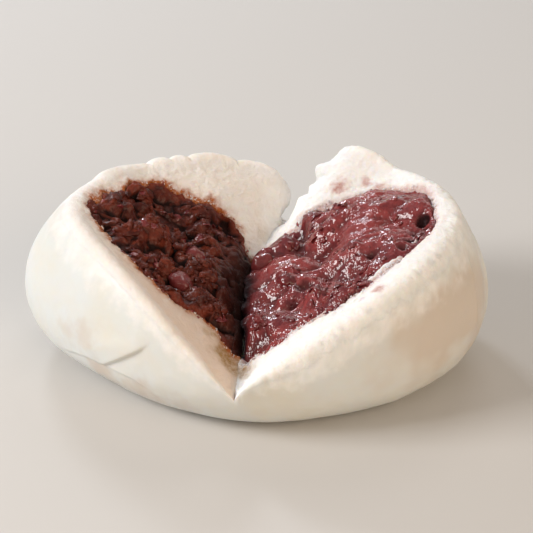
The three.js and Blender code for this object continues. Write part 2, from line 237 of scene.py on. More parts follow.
@dataclass(frozen=True)
class SkinLine:
    """Ridge with a groove under it, drawn on the skin between two places of angle and level."""

    from_angle: float
    to_angle: float
    from_level: float
    to_level: float
    width: float
    height: float
    groove: float
    spacing: float = 0.6

    def relief(self, angle: Array, level: Array) -> Array:
        """Height over the skin: two bells side by side, faded out at both ends of the line."""
        degrees = np.degrees(angle)
        turn = self.to_angle - self.from_angle
        climb = self.to_level - self.from_level
        length = np.hypot(turn, climb)
        right = degrees - self.from_angle
        above = level - self.from_level
        along = (right * turn + above * climb) / length**2
        across = (above * turn - right * climb) / length
        window = np.clip(4.0 * along * (1.0 - along), 0.0, 1.0)
        apart = self.spacing * self.width
        ridge = bell(across - apart, self.width)
        trough = bell(across + apart, self.width)
        return self.height * window * (ridge - self.groove * trough)


@dataclass(frozen=True)
class PasteOutline:
    """Edges of the paste on a torn face, as rows of share along the rim and share down to the crease."""

    outer: tuple[tuple[float, float], ...]
    front: tuple[tuple[float, float], ...]
    back: tuple[tuple[float, float], ...]

    def place(self, a: Array, b: Array) -> tuple[Array, Array]:
        """Four-sided patch blended from its edges (a Coons patch).

        Args:
            a: Share from the front end to the back end.
            b: Share from the outer edge to the crease.

        Returns:
            Share along the rim, and share from the rim down to the crease.
        """
        outer, front, back = np.array(self.outer), np.array(self.front), np.array(self.back)
        wa, wb = a[..., None], b[..., None]
        crease = mix(front[-1], back[-1], wa)
        ends = mix(mix(outer[0], outer[-1], wa), crease, wb)
        rows = mix(spline(outer, a), crease, wb)
        columns = mix(spline(front, b), spline(back, b), wa)
        both = rows + columns - ends
        return both[..., 0], both[..., 1]

    def border(self, steps: int) -> Array:
        """Closed outline as rows of the two shares, from the outer edge round to the front end."""
        t = np.linspace(0.0, 1.0, steps, endpoint=False)
        zero, one = np.zeros(steps), np.ones(steps)
        sides = [(t, zero), (one, t), (1.0 - t, one), (zero, 1.0 - t)]
        return np.concatenate([np.stack(self.place(a, b), axis=-1) for a, b in sides])

    def holds(self, share: Array, depth: Array, steps: int = 60) -> NDArray[np.bool_]:
        """True where a place lies inside the outline, by counting the edges on one side of it."""
        corners = self.border(steps)
        after = np.roll(corners, -1, axis=0)
        inside = np.zeros(share.shape, dtype=bool)
        for (x0, y0), (x1, y1) in zip(corners, after):
            if y0 == y1:
                continue
            spans = (y0 > depth) != (y1 > depth)
            crossing = x0 + (depth - y0) * (x1 - x0) / (y1 - y0)
            inside ^= spans & (share < crossing)
        return inside


class Half(Enum):
    """The two halves of the torn bun, by the sign of the side that each lies on."""

    RIGHT = 1
    LEFT = -1

    @property
    def word(self) -> str:
        """Name of the half as it stands in piece names."""
        return self.name.lower()


FRONT_PART = (0.34, 0.48)
FRONT_WARMING = (0.0, 1.8)


@dataclass(frozen=True)
class HalfShape:
    """What differs between the halves: rim, paste and how the torn dough looks."""

    half: Half
    rim_level: float
    swells: tuple[Swell, ...]
    paste: PasteOutline
    fray: float
    rounded_to: float
    shoulder: float
    warmth: float
    front_warmth: float

    def warmth_at(self, share: Array, step: Array) -> Array:
        """Warmth of the torn dough: even, and rising down the face on the front part of the rim."""
        front = 1.0 - smooth_step(share, *FRONT_PART)
        return self.warmth + self.front_warmth * front[:, None] * smooth_step(step, *FRONT_WARMING)[None]


RIGHT_SHAPE = HalfShape(
    half=Half.RIGHT,
    rim_level=41.4,
    swells=(Swell(3.7, 152, 17), Swell(-2, 137, 7), Swell(0.8, 166, 6), Swell(0.6, 104, 8)),
    paste=PasteOutline(
        outer=((0.24, 0.42), (0.28, 0.29), (0.34, 0.225), (0.42, 0.145), (0.5, 0.11), (0.6, 0.08)),
        front=((0.24, 0.42), (0.22, 0.54), (0.185, 0.62), (0.165, 0.75), (0.145, 0.88), (0.155, 1)),
        back=(
            (0.6, 0.08), (0.645, 0.19), (0.675, 0.3), (0.71, 0.42), (0.735, 0.58), (0.725, 0.74), (0.755, 1),
        ),
    ),
    fray=0.75,
    rounded_to=1.0,
    shoulder=0.9,
    warmth=0.04,
    front_warmth=0.0,
)
LEFT_SHAPE = HalfShape(
    half=Half.LEFT,
    rim_level=39.2,
    swells=(Swell(1.1, 150, 20), Swell(1, 78, 22), Swell(0.6, 112, 6), Swell(-0.6, 128, 6)),
    paste=PasteOutline(
        outer=(
            (0.27, 0.38), (0.31, 0.315), (0.36, 0.25), (0.42, 0.2), (0.46, 0.135), (0.51, 0.09), (0.61, 0.11),
        ),
        front=((0.27, 0.38), (0.255, 0.5), (0.27, 0.62), (0.255, 0.73), (0.21, 0.84), (0.16, 1)),
        back=(
            (0.61, 0.11), (0.655, 0.18), (0.68, 0.29), (0.705, 0.42), (0.735, 0.58), (0.725, 0.78), (0.67, 1),
        ),
    ),
    fray=0.95,
    rounded_to=0.93,
    shoulder=0.15,
    warmth=0.24,
    front_warmth=0.8,
)


@dataclass(frozen=True)
class BunShape:
    """Form of the torn bun in millimetres about the plan's centre, the same as the solid model's."""

    radius_right: float = 57.5
    radius_left: float = 62.6
    radius_front: float = 46.5
    radius_back: float = 45.5
    widest_level: float = 17.5
    shoulder_level: float = 42.3
    roundness_back: float = 2.2
    roundness_front_right: float = 1.85
    roundness_front_left: float = 1.56
    underside_share: float = 0.66
    underside_roundness: float = 2.2
    shoulder_share_right: float = 0.838
    shoulder_share_left: float = 0.755
    shoulder_share_ends: float = 0.87
    lip_x: float = -1.75
    lip_level: float = 11.8
    notch_x: float = 2.95
    notch_level: float = 15.0
    crease_sag: float = 4.8
    crease_sag_power: float = 1.5
    crease_lift: float = 2.3
    crease_lift_power: float = 0.7
    rise_lip_right: float = 0.7
    rise_lip_left: float = 2.0
    rise_notch_right: float = 5.5
    rise_notch_left: float = 0.16
    ends_angle: float = 20.0
    rim_rounding: float = 4.6
    crest_share: float = 0.25
    torn_wave: float = 0.55
    torn_wave_length: float = 16.0
    torn_wave_phases: tuple[float, float] = (1.3, 0.4)
    ease_degrees: float = 7.0
    ease_samples: int = 7
    shoulder_window: tuple[float, float, float, float] = (0.0, 0.12, 0.36, 0.55)
    least_rounding: float = 0.14
    least_window: tuple[float, float, float, float] = (0.0, 0.03, 0.97, 1.0)
    ring_crowding: float = 1.3
    rim_samples: int = 3000
    plan_centre: tuple[float, float, float] = (1.7, 0.3, 0.0)
    fold: SkinLine = SkinLine(
        from_angle=-148, to_angle=-119, from_level=12.4, to_level=21.0, width=3.0, height=0.8, groove=0.0
    )
    ridge: SkinLine = SkinLine(
        from_angle=9, to_angle=-3, from_level=35, to_level=11, width=2.0, height=0.8, groove=0.3
    )

    def plan_radius(self, angle: Array) -> Array:
        """Widest plan: a superellipse, (x/a)^n + (y/b)^n = 1, with a, b and n set by the quadrant."""
        c, s = np.cos(angle), np.sin(angle)
        across = np.where(c >= 0, self.radius_right, self.radius_left)
        along = np.where(s >= 0, self.radius_back, self.radius_front)
        front = np.where(c >= 0, self.roundness_front_right, self.roundness_front_left)
        n = np.where(s >= 0, self.roundness_back, front)
        return (np.abs(c / across) ** n + np.abs(s / along) ** n) ** (-1.0 / n)

    def eased_radius(self, angle: Array) -> Array:
        """Plan radius averaged over a few degrees, which softens the plan's corners."""
        turns = np.radians(np.linspace(-self.ease_degrees, self.ease_degrees, self.ease_samples))
        return sum(self.plan_radius(angle + turn) for turn in turns) / len(turns)

    def level_share(self, angle: Array, level: Array) -> Array:
        """Share of the plan radius: a quarter superellipse up to the widest level, then a parabola."""
        c, s = np.cos(angle), np.sin(angle)
        drop = 1.0 - np.clip(level / self.widest_level, 0.0, 1.0)
        arc = (1.0 - drop**self.underside_roundness) ** (1.0 / self.underside_roundness)
        side = np.where(c >= 0, self.shoulder_share_right, self.shoulder_share_left)
        shoulder = self.shoulder_share_ends * s * s + side * c * c
        climb = (level - self.widest_level) / (self.shoulder_level - self.widest_level)
        high = 1.0 - (1.0 - shoulder) * climb**2
        return np.where(level < self.widest_level, mix(self.underside_share, 1.0, arc), high)

    def skin(self, angle: Array, level: Array) -> Array:
        """Points of the skin: plan radius times level share plus the drawn lines, turned by the angle."""
        wrapped = np.where(angle > np.pi, angle - 2.0 * np.pi, angle)
        relief = self.fold.relief(wrapped, level) + self.ridge.relief(wrapped, level)
        radius = self.eased_radius(angle) * self.level_share(angle, level) + relief
        return np.stack([radius * np.cos(angle), radius * np.sin(angle), level], axis=-1)

    def rim_level(self, shape: HalfShape, place: Array) -> Array:
        """Level of the rim at an angle round it: a power of the sine from each end, plus the swells."""
        u = np.sin(np.radians(place))
        if shape.half is Half.RIGHT:
            from_lip = u**self.rise_lip_right
            from_notch = 1.0 - (1.0 - u) ** self.rise_notch_right
        else:
            from_lip = 1.0 - (1.0 - u) ** self.rise_lip_left
            from_notch = u**self.rise_notch_left
        low = np.where(place < 90.0, self.lip_level, self.notch_level)
        level = low + (shape.rim_level - low) * np.where(place < 90.0, from_lip, from_notch)
        ends = np.clip(place / self.ends_angle, 0, 1) * np.clip((180.0 - place) / self.ends_angle, 0, 1)
        for swell in shape.swells:
            level = level + ends * swell.height * bell(place - swell.place, swell.width)
        return level

    def plan_angle(self, shape: HalfShape, share: Array) -> Array:
        """Angle in the plan at a share of the way from the lip to the notch, round this half's side."""
        lip = np.arctan2(-self.radius_front, self.lip_x)
        notch = np.arctan2(self.radius_back, self.notch_x)
        start = lip if shape.half is Half.RIGHT else lip + 2.0 * np.pi
        return mix(start, notch, share)

    def rim_table(self, shape: HalfShape) -> tuple[Array, Array, Array, Array]:
        """Rim sampled evenly by angle, with its share of length, angle, level and points."""
        t = np.linspace(0.0, 1.0, self.rim_samples + 1)
        angle = self.plan_angle(shape, t)
        level = self.rim_level(shape, 180.0 * t)
        points = self.skin(angle, level)
        steps = np.linalg.norm(np.diff(points, axis=0), axis=1)
        length = np.concatenate([[0.0], np.cumsum(steps)])
        return length / length[-1], angle, level, points

    def rim(self, shape: HalfShape, share: Array) -> tuple[Array, Array, Array]:
        """Angle, level and point of the rim at a share of its length."""
        length, angle, level, points = self.rim_table(shape)
        found = [np.interp(share, length, column) for column in points.T]
        return np.interp(share, length, angle), np.interp(share, length, level), np.stack(found, axis=-1)

    @cached_property
    def ends(self) -> tuple[Array, Array]:
        """The lip's point and the notch's point."""
        points = self.rim_table(RIGHT_SHAPE)[3]
        return points[0], points[-1]

    def crease(self, share: Array) -> Array:
        """Crease: straight from lip to notch, bent to the left and lifted by powers of a sine."""
        lip, notch = self.ends
        inside = np.clip(share, 0.0, 1.0)
        point = mix(lip, notch, share[..., None])
        bend = np.sin(np.pi * inside**self.crease_sag_power)
        lift = np.maximum(np.sin(np.pi * inside), 0.0) ** self.crease_lift_power
        shift = np.stack([-self.crease_sag * bend, 0.0 * bend, self.crease_lift * lift], axis=-1)
        return point + shift

    def face(self, shape: HalfShape, share: Array, depth: Array) -> Array:
        """Torn face: straight lines from the rim to the crease, with waves that die out at both ends."""
        point = mix(self.rim(shape, share)[2], self.crease(share), depth[..., None])
        turn = 2.0 * np.pi / self.torn_wave_length
        across, along = self.torn_wave_phases
        wave = np.sin(turn * point[..., 0] + across) * np.cos(turn * point[..., 1] + along)
        window = 4.0 * depth * (1.0 - depth) * np.sin(np.pi * np.clip(share, 0.0, 1.0))
        point[..., 2] += self.torn_wave * wave * window
        return point

    def profile(self, shape: HalfShape, share: Array, rings: tuple[int, int, int]) -> Array:
        """Profiles from the underside's edge up the skin, over the rounded rim and down to the crease.

        The rounding is a parabola (a quadratic Bezier) from the skin over the crest to the torn face.

        Args:
            shape: The half.
            share: Shares of the rim, one for each profile.
            rings: Counts of steps on the skin, over the rim and on the face.

        Returns:
            Points with one row of the grid for each profile.
        """
        skin_rings, rounding_rings, face_rings = rings
        angle, level, crest = self.rim(shape, share)
        place = 180.0 * share
        to_notch = (180.0 * shape.rounded_to - place) / self.ends_angle
        ends = np.clip(place / self.ends_angle, 0, 1) * np.clip(to_notch, 0, 1)
        shoulder = 1.0 + shape.shoulder * plateau(share, *self.shoulder_window)
        least = self.least_rounding * plateau(share, *self.least_window)
        rounding = self.rim_rounding * np.maximum(ends * shoulder, least)
        t = np.linspace(0.0, 1.0, skin_rings + 1) ** self.ring_crowding
        levels = (level - rounding)[:, None] * t
        foot = self.plan_angle(shape, share)[:, None]
        skin = self.skin(mix(foot, angle[:, None], levels / level[:, None]), levels)
        crest = crest + np.stack([0 * rounding, 0 * rounding, self.crest_share * rounding], axis=-1)
        reach = np.linalg.norm(crest - self.crease(share), axis=-1)
        depth = np.where(reach > 1e-6, rounding / np.maximum(reach, 1e-6), 0.0)
        w = np.linspace(0.0, 1.0, rounding_rings + 1)[1:, None]
        outside, inside = skin[:, -1][:, None], self.face(shape, share, depth)[:, None]
        first = mix(outside, crest[:, None], w)
        over = mix(first, mix(crest[:, None], inside, w), w)
        d = np.linspace(0.0, 1.0, face_rings + 1)[None, 1:]
        depths = mix(depth[:, None], 1.0, d)
        down = self.face(shape, np.broadcast_to(share[:, None], depths.shape), depths)
        return np.concatenate([skin, over, down], axis=1)


SHAPE = BunShape()


def about_plan(*place: float) -> Array:
    """Place in the shared frame, in millimetres, moved to be about the plan's centre."""
    return np.array(place) - np.array(SHAPE.plan_centre)


def share_grid(rows: int, columns: int) -> tuple[Array, Array]:
    """Shares from 0 to 1 along the rows and along the columns of a grid of points."""
    a, b = np.meshgrid(np.linspace(0, 1, rows), np.linspace(0, 1, columns), indexing="ij")
    return a, b


def grid_normals(points: Array) -> Array:
    """Unit normals of a grid of points: cross product of its slopes along rows and along columns."""
    along = np.gradient(points, axis=0)
    across = np.gradient(points, axis=1)
    return unit(np.cross(along, across))


def grid_quads(rows: int, columns: int) -> NDArray[np.int64]:
    """Corner numbers of the quads of a grid that is rows by columns points."""
    index = np.arange(rows * columns).reshape(rows, columns)
    corners = [index[:-1, :-1], index[1:, :-1], index[1:, 1:], index[:-1, 1:]]
    return np.stack(corners, axis=-1).reshape(-1, 4)


def nearest_distance(points: Array, others: Array, block: int = 20000) -> Array:
    """Distance from each point to the nearest of the others, in blocks of points."""
    found = np.empty(len(points))
    for start in range(0, len(points), block):
        part = points[start : start + block]
        square = (part**2).sum(1)[:, None] + (others**2).sum(1)[None] - 2.0 * part @ others.T
        found[start : start + block] = np.sqrt(np.maximum(square.min(axis=1), 0.0))
    return found


def smoothed(field: Array, reach: int) -> Array:
    """Mean of a grid over a square window of 2 reach + 1 cells, from running sums."""
    wide = 2 * reach + 1
    for axis in (0, 1):
        around = [(0, 0), (0, 0)]
        around[axis] = (reach + 1, reach)
        sums = np.cumsum(np.pad(field, around, mode="edge"), axis=axis)
        count = sums.shape[axis]
        upper = np.take(sums, np.arange(wide, count), axis=axis)
        lower = np.take(sums, np.arange(0, count - wide), axis=axis)
        field = (upper - lower) / wide
    return field


def ball(columns: int, rows: int) -> tuple[Array, NDArray[np.int64], NDArray[np.int64]]:
    """Closed ball of radius 1: circles of latitude between two poles.

    Args:
        columns: Corners of each circle.
        rows: Bands between the poles.

    Returns:
        Points, corner numbers of its quads and of the triangles at its poles.
    """
    turn = 2.0 * np.pi * np.arange(columns) / columns
    rise = np.pi * np.arange(1, rows) / rows
    x = np.outer(np.sin(rise), np.cos(turn))
    y = np.outer(np.sin(rise), np.sin(turn))
    z = np.repeat(-np.cos(rise)[:, None], columns, axis=1)
    rings = np.stack([x, y, z], axis=-1).reshape(-1, 3)
    points = np.concatenate([rings, [[0.0, 0.0, -1.0], [0.0, 0.0, 1.0]]])
    index = np.arange((rows - 1) * columns).reshape(rows - 1, columns)
    after = np.roll(index, -1, axis=1)
    quads = np.stack([index[:-1], after[:-1], after[1:], index[1:]], axis=-1).reshape(-1, 4)
    low = np.stack([np.full(columns, len(rings)), after[0], index[0]], axis=-1)
    high = np.stack([np.full(columns, len(rings) + 1), index[-1], after[-1]], axis=-1)
    return points, quads, np.concatenate([low, high])


def split_faces(quads: NDArray[np.int64]) -> tuple[NDArray[np.int64], NDArray[np.int64]]:
    """Sorts quads into whole ones and those pinched to triangles, and drops the ones without an area."""
    same = quads == np.roll(quads, -1, axis=1)
    whole = quads[~same.any(axis=1)]
    pinched = quads[same.sum(axis=1) == 1]
    first = np.argmax(pinched == np.roll(pinched, -1, axis=1), axis=1)
    order = (first[:, None] + np.arange(1, 4)) % 4
    triangles = np.take_along_axis(pinched, order, axis=1)
    distinct = (triangles != np.roll(triangles, -1, axis=1)).all(axis=1)
    return whole, triangles[distinct]


def make_piece(
    name: str,
    points: Array,
    quads: NDArray[np.int64],
    triangles: NDArray[np.int64],
    material: bpy.types.Material,
    layers: dict[str, Array] | None = None,
) -> bpy.types.Object:
    """Turns points in millimetres about the plan's centre into a smooth mesh in metres.

    Args:
        name: Name of the piece.
        points: Points, as rows.
        quads: Corner numbers of the faces with four corners.
        triangles: Corner numbers of the faces with three corners.
        material: Finish of the whole piece.
        layers: Numbers for each point, by name, for the finish to read.

    Returns:
        The new object, at the origin and unturned.
    """
    used = np.zeros(len(points), dtype=bool)
    used[quads.ravel()] = True
    used[triangles.ravel()] = True
    number = np.cumsum(used) - 1
    corners = number[np.concatenate([quads.ravel(), triangles.ravel()])]
    sizes = np.concatenate([np.full(len(quads), 4), np.full(len(triangles), 3)])
    starts = np.concatenate([[0], np.cumsum(sizes)[:-1]])
    places = (points[used] + np.array(SHAPE.plan_centre)) * MM
    mesh = bpy.data.meshes.new(name)
    mesh.vertices.add(len(places))
    mesh.vertices.foreach_set("co", places.astype(np.float32).ravel())
    mesh.loops.add(len(corners))
    mesh.loops.foreach_set("vertex_index", corners.astype(np.int32))
    mesh.polygons.add(len(sizes))
    mesh.polygons.foreach_set("loop_start", starts.astype(np.int32))
    mesh.polygons.foreach_set("use_smooth", np.ones(len(sizes), dtype=bool))
    mesh.update(calc_edges=True)
    mesh.validate()
    for word, values in (layers or {}).items():
        layer = mesh.attributes.new(word, "FLOAT", "POINT")
        layer.data.foreach_set("value", np.ascontiguousarray(values[used], dtype=np.float32))
    mesh.materials.append(material)
    piece = bpy.data.objects.new(name, mesh)
    bpy.context.scene.collection.objects.link(piece)
    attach(piece, BODY)
    LOG.info("%s: %d points, %d faces", name, len(mesh.vertices), len(mesh.polygons))
    return piece


UNDERSIDE_COLUMNS = 12


def closed_layer(
    top: Array, down: Array, half: Half, layers: dict[str, Array]
) -> tuple[Array, NDArray[np.int64], NDArray[np.int64], dict[str, Array]]:
    """Closes a grid with a coarser grid under it and walls between their borders.

    Args:
        top: Grid of points that shows.
        down: Offset of the underside from the top at each point.
        half: The half, which says which side of the grid is the outside.
        layers: Numbers for each point of the top, by name.

    Returns:
        Points, quads, triangles, and the layers for all the points.
    """
    rows, columns = top.shape[:2]
    kept = np.unique(np.linspace(0, columns - 1, UNDERSIDE_COLUMNS).round().astype(int))
    under = (top + down)[:, kept]
    index = np.arange(rows * columns).reshape(rows, columns)
    below = index.size + np.arange(rows * len(kept)).reshape(rows, len(kept))
    floor = grid_quads(rows, len(kept))[:, ::-1] + index.size
    walls = [
        np.stack([index[1:, 0], index[:-1, 0], below[:-1, 0], below[1:, 0]], axis=-1),
        np.stack([index[:-1, -1], index[1:, -1], below[1:, -1], below[:-1, -1]], axis=-1),
    ]
    nearest = np.searchsorted(kept, np.arange(columns - 1), side="right") - 1
    ends = []
    for row, turned in ((0, 1), (-1, -1)):
        upper, lower = index[row], below[row]
        ends.append(np.stack([upper[:-1], upper[1:], lower[nearest]], axis=-1)[:, ::turned])
        ends.append(np.stack([upper[kept[1:]], lower[1:], lower[:-1]], axis=-1)[:, ::turned])
    quads = np.concatenate([grid_quads(rows, columns), floor, *walls])
    triangles = np.concatenate(ends)
    if half is Half.LEFT:
        quads, triangles = quads[:, ::-1], triangles[:, ::-1]
    points = np.concatenate([top.reshape(-1, 3), under.reshape(-1, 3)])
    values = {word: np.concatenate([v.reshape(-1), v[:, kept].reshape(-1)]) for word, v in layers.items()}
    return points, quads, triangles, values


class Recipe:
    """Material under construction: adds shader nodes and links them in short calls."""

    def __init__(self, name: str) -> None:
        """Starts an empty material with a Principled shader."""
        self.material = bpy.data.materials.new(name)
        self.material.use_nodes = True
        self.tree = self.material.node_tree
        self.tree.nodes.clear()
        self.shader = self.tree.nodes.new("ShaderNodeBsdfPrincipled")
        output = self.tree.nodes.new("ShaderNodeOutputMaterial")
        self.tree.links.new(self.shader.outputs[0], output.inputs["Surface"])
        self.coordinates = self.tree.nodes.new("ShaderNodeTexCoord").outputs["Object"]

    def put(self, socket: bpy.types.NodeSocket, value: object) -> None:
        """Links a socket to another, or sets its own value."""
        if isinstance(value, bpy.types.NodeSocket):
            self.tree.links.new(value, socket)
        else:
            socket.default_value = value

    def set(self, **values: object) -> None:
        """Sets the shader's inputs, with spaces written as underscores."""
        for word, value in values.items():
            self.put(self.shader.inputs[word.replace("_", " ")], value)

    def layer(self, name: str) -> bpy.types.NodeSocket:
        """Number layer of the mesh."""
        node = self.tree.nodes.new("ShaderNodeAttribute")
        node.attribute_name = name
        return node.outputs["Fac"]

    def noise(
        self, size: float, detail: float = 3.0, rough: float = 0.5, warp: float = 0.0
    ) -> bpy.types.NodeSocket:
        """Noise whose features are about size millimetres wide."""
        node = self.tree.nodes.new("ShaderNodeTexNoise")
        self.put(node.inputs["Vector"], self.coordinates)
        node.inputs["Scale"].default_value = 1.0 / (size * MM)
        node.inputs["Detail"].default_value = detail
        node.inputs["Roughness"].default_value = rough
        node.inputs["Distortion"].default_value = warp
        return node.outputs["Fac"]

    def span(
        self, value: object, low: float = 0.0, high: float = 1.0, start: float = 0.0, end: float = 1.0
    ) -> bpy.types.NodeSocket:
        """Maps low..high to start..end, clamped."""
        node = self.tree.nodes.new("ShaderNodeMapRange")
        self.put(node.inputs["Value"], value)
        for word, number in zip(("From Min", "From Max", "To Min", "To Max"), (low, high, start, end)):
            node.inputs[word].default_value = number
        return node.outputs["Result"]

    def math(self, kind: str, first: object, second: object = 0.0) -> bpy.types.NodeSocket:
        """One step of arithmetic on two numbers, such as their sum or the larger one."""
        node = self.tree.nodes.new("ShaderNodeMath")
        node.operation = kind
        self.put(node.inputs[0], first)
        self.put(node.inputs[1], second)
        return node.outputs[0]

    def blend(self, share: object, first: object, second: object) -> bpy.types.NodeSocket:
        """Blend of two colours."""
        node = self.tree.nodes.new("ShaderNodeMix")
        node.data_type = "RGBA"
        self.put(node.inputs[0], share)
        colours = [socket for socket in node.inputs if socket.type == "RGBA"]
        self.put(colours[0], first)
        self.put(colours[1], second)
        return next(socket for socket in node.outputs if socket.type == "RGBA")

    def bump(
        self, height: object, depth: float, strength: object = 1.0, under: object = None
    ) -> bpy.types.NodeSocket:
        """Bump of a depth in millimetres, laid over another bump if one is given."""
        node = self.tree.nodes.new("ShaderNodeBump")
        node.inputs["Distance"].default_value = depth * MM
        self.put(node.inputs["Strength"], strength)
        self.put(node.inputs["Height"], height)
        if under is not None:
            self.put(node.inputs["Normal"], under)
        return node.outputs[0]


@dataclass(frozen=True)
class DoughFinish:
    """Steamed dough: satin white skin with painted tan shade, fluffy where torn, stained where the paste
    touched it.
    """

    skin: Color = (0.69, 0.71, 0.695, 1.0)
    skin_warm: Color = (0.695, 0.67, 0.595, 1.0)
    skin_shade: Color = (0.61, 0.535, 0.455, 1.0)
    torn: Color = (0.96, 0.945, 0.925, 1.0)
    torn_warm: Color = (0.77, 0.63, 0.53, 1.0)
    rust: Color = (0.38, 0.105, 0.022, 1.0)
    pink: Color = (0.48, 0.19, 0.16, 1.0)
    olive: Color = (0.36, 0.205, 0.065, 1.0)

    def material(self) -> bpy.types.Material:
        """Builds the material from the layers torn, tan, warm, rust, pink and olive, of which tan is painted
        shade on the skin.
        """
        r = Recipe("steamed_dough")
        torn = r.layer("torn")
        patches = r.span(r.noise(size=16.0, rough=0.55), low=0.38, high=0.72)
        skin = r.blend(patches, self.skin, self.skin_warm)
        # painted shade: the skin darkens to a tan where the tan layer lies
        skin = r.blend(r.span(r.layer("tan_shade")), skin, self.skin_shade)
        mottle = r.span(r.noise(size=5.0, detail=5.0, rough=0.65), low=0.42, high=0.75, start=-0.05, end=0.15)
        warm = r.math("ADD", r.layer("warm"), mottle)
        inner = r.blend(r.span(warm), self.torn, self.torn_warm)
        color = r.blend(torn, skin, inner)
        grit = r.span(r.noise(size=0.9, detail=4.0, rough=0.7), low=0.3, high=0.7, start=0.55, end=1.3)
        for word, tint in (("olive", self.olive), ("pink", self.pink), ("rust", self.rust)):
            color = r.blend(r.span(r.math("MULTIPLY", r.layer(word), grit)), color, tint)
        dimpled = r.span(torn, start=0.35, end=0.0)
        dimples = r.bump(r.noise(size=4.5, detail=2.0), depth=0.25, strength=dimpled)
        peeled = r.span(torn, start=0.30, end=0.0)
        peel = r.bump(r.noise(size=1.3, rough=0.55), depth=0.10, strength=peeled, under=dimples)
        fluffy = r.span(torn, end=0.9)
        crumb = r.bump(r.noise(size=0.9, detail=5.0, rough=0.7), depth=0.40, strength=fluffy, under=peel)
        satin = r.span(r.noise(size=3.5, rough=0.6), low=0.3, high=0.7, start=0.30, end=0.44)
        rough = r.math("MAXIMUM", satin, r.span(torn, end=0.95))
        r.set(Base_Color=color, Roughness=rough, Normal=crumb)
        r.set(Subsurface_Weight=0.4, Subsurface_Radius=(1.0, 0.70, 0.46), Subsurface_Scale=0.0018)
        return r.material


@dataclass(frozen=True)
class PasteFinish:
    """Coarse bean paste, from dry and dark to moist and glossy."""

    name: str
    deep_shade: Color
    flesh: Color
    skin: Color
    coat: float
    glitter: float
    grain: float
    specular: float
    roughness: tuple[float, float] = (0.45, 0.70)
    mottle: float = 0.45
    coat_in_hollows: float = 0.03

    def material(self) -> bpy.types.Material:
        """Builds the material from the layers tone and hollow; the hollow layer is painted shade that darkens
        pits, valleys and the crease.
        """
        r = Recipe(self.name)
        hollow_shade = r.layer("hollow_shade")
        clouds = r.noise(size=2.2, detail=4.0, rough=0.65)
        mottle = r.span(clouds, low=0.25, high=0.75, start=-self.mottle, end=self.mottle)
        tone = r.math("ADD", r.layer("tone"), mottle)
        color = r.blend(r.span(tone, low=0.1, high=0.9), self.skin, self.flesh)
        # painted shade: the colour blends towards the dark shade colour by the hollow layer
        color = r.blend(hollow_shade, color, self.deep_shade)
        speck = r.span(r.noise(size=0.6, rough=0.6), low=0.56, high=0.72, end=0.45)
        color = r.blend(speck, color, self.skin)
        grains = r.noise(size=1.1, detail=4.0, rough=0.6, warp=0.3)
        coarse = r.bump(grains, depth=0.50, strength=0.8 * self.grain)
        grit = r.noise(size=0.5, detail=4.0, rough=0.65)
        fine = r.bump(grit, depth=0.25, strength=self.grain, under=coarse)
        clusters = r.span(r.noise(size=4.5, detail=2.0), low=0.40, high=0.60, start=0.25)
        glitter = r.bump(r.noise(size=1.1, detail=1.0), depth=self.glitter, strength=clusters)
        least, most = self.roughness
        patches = r.noise(size=1.5, detail=4.0, rough=0.65)
        rough = r.span(patches, low=0.35, high=0.65, start=least, end=most)
        least_coat = self.coat_in_hollows * self.coat
        # the coat thins where the painted shade lies
        coat = r.span(hollow_shade, low=0.35, high=0.95, start=self.coat, end=least_coat)
        r.set(Base_Color=color, Roughness=rough, Normal=fine)
        r.set(Subsurface_Weight=0.10, Subsurface_Radius=(1.0, 0.25, 0.2), Subsurface_Scale=0.0016)
        r.set(Coat_Weight=coat, Coat_Roughness=0.10, Coat_Normal=glitter, Specular_IOR_Level=self.specular)
        return r.material


MOIST_PASTE = PasteFinish(
    name="moist_paste",
    # colour of the painted shade in the hollows
    deep_shade=(0.018, 0.0016, 0.0022, 1.0),
    flesh=(0.285, 0.041, 0.040, 1.0),
    skin=(0.120, 0.011, 0.016, 1.0),
    coat=1.0,
    glitter=0.55,
    grain=0.7,
    specular=0.14,
)
DARK_PASTE = PasteFinish(
    name="dark_paste",
    # colour of the painted shade in the hollows
    deep_shade=(0.012, 0.0020, 0.0011, 1.0),
    flesh=(0.175, 0.029, 0.012, 1.0),
    skin=(0.060, 0.0080, 0.0045, 1.0),
    coat=0.24,
    glitter=0.7,
    grain=1.0,
    specular=0.15,
)


TORN_FRAY = 0.28
TORN_FRAY_SIZE = 3.5
TORN_BAND = (-0.35, 0.8)


def torn_share(step: Array, points: Array, noise: Noise) -> Array:
    """How torn the dough looks, from the share of the way over the rounded rim, frayed by noise."""
    return smooth_step(step + TORN_FRAY * noise.layers(points, TORN_FRAY_SIZE, 4, 0.6), *TORN_BAND)


TEAR_SLANT = np.array([-0.05, 0.45, 0.89])
TEAR_ACROSS = np.array([0.995, 0.105, 0.0])


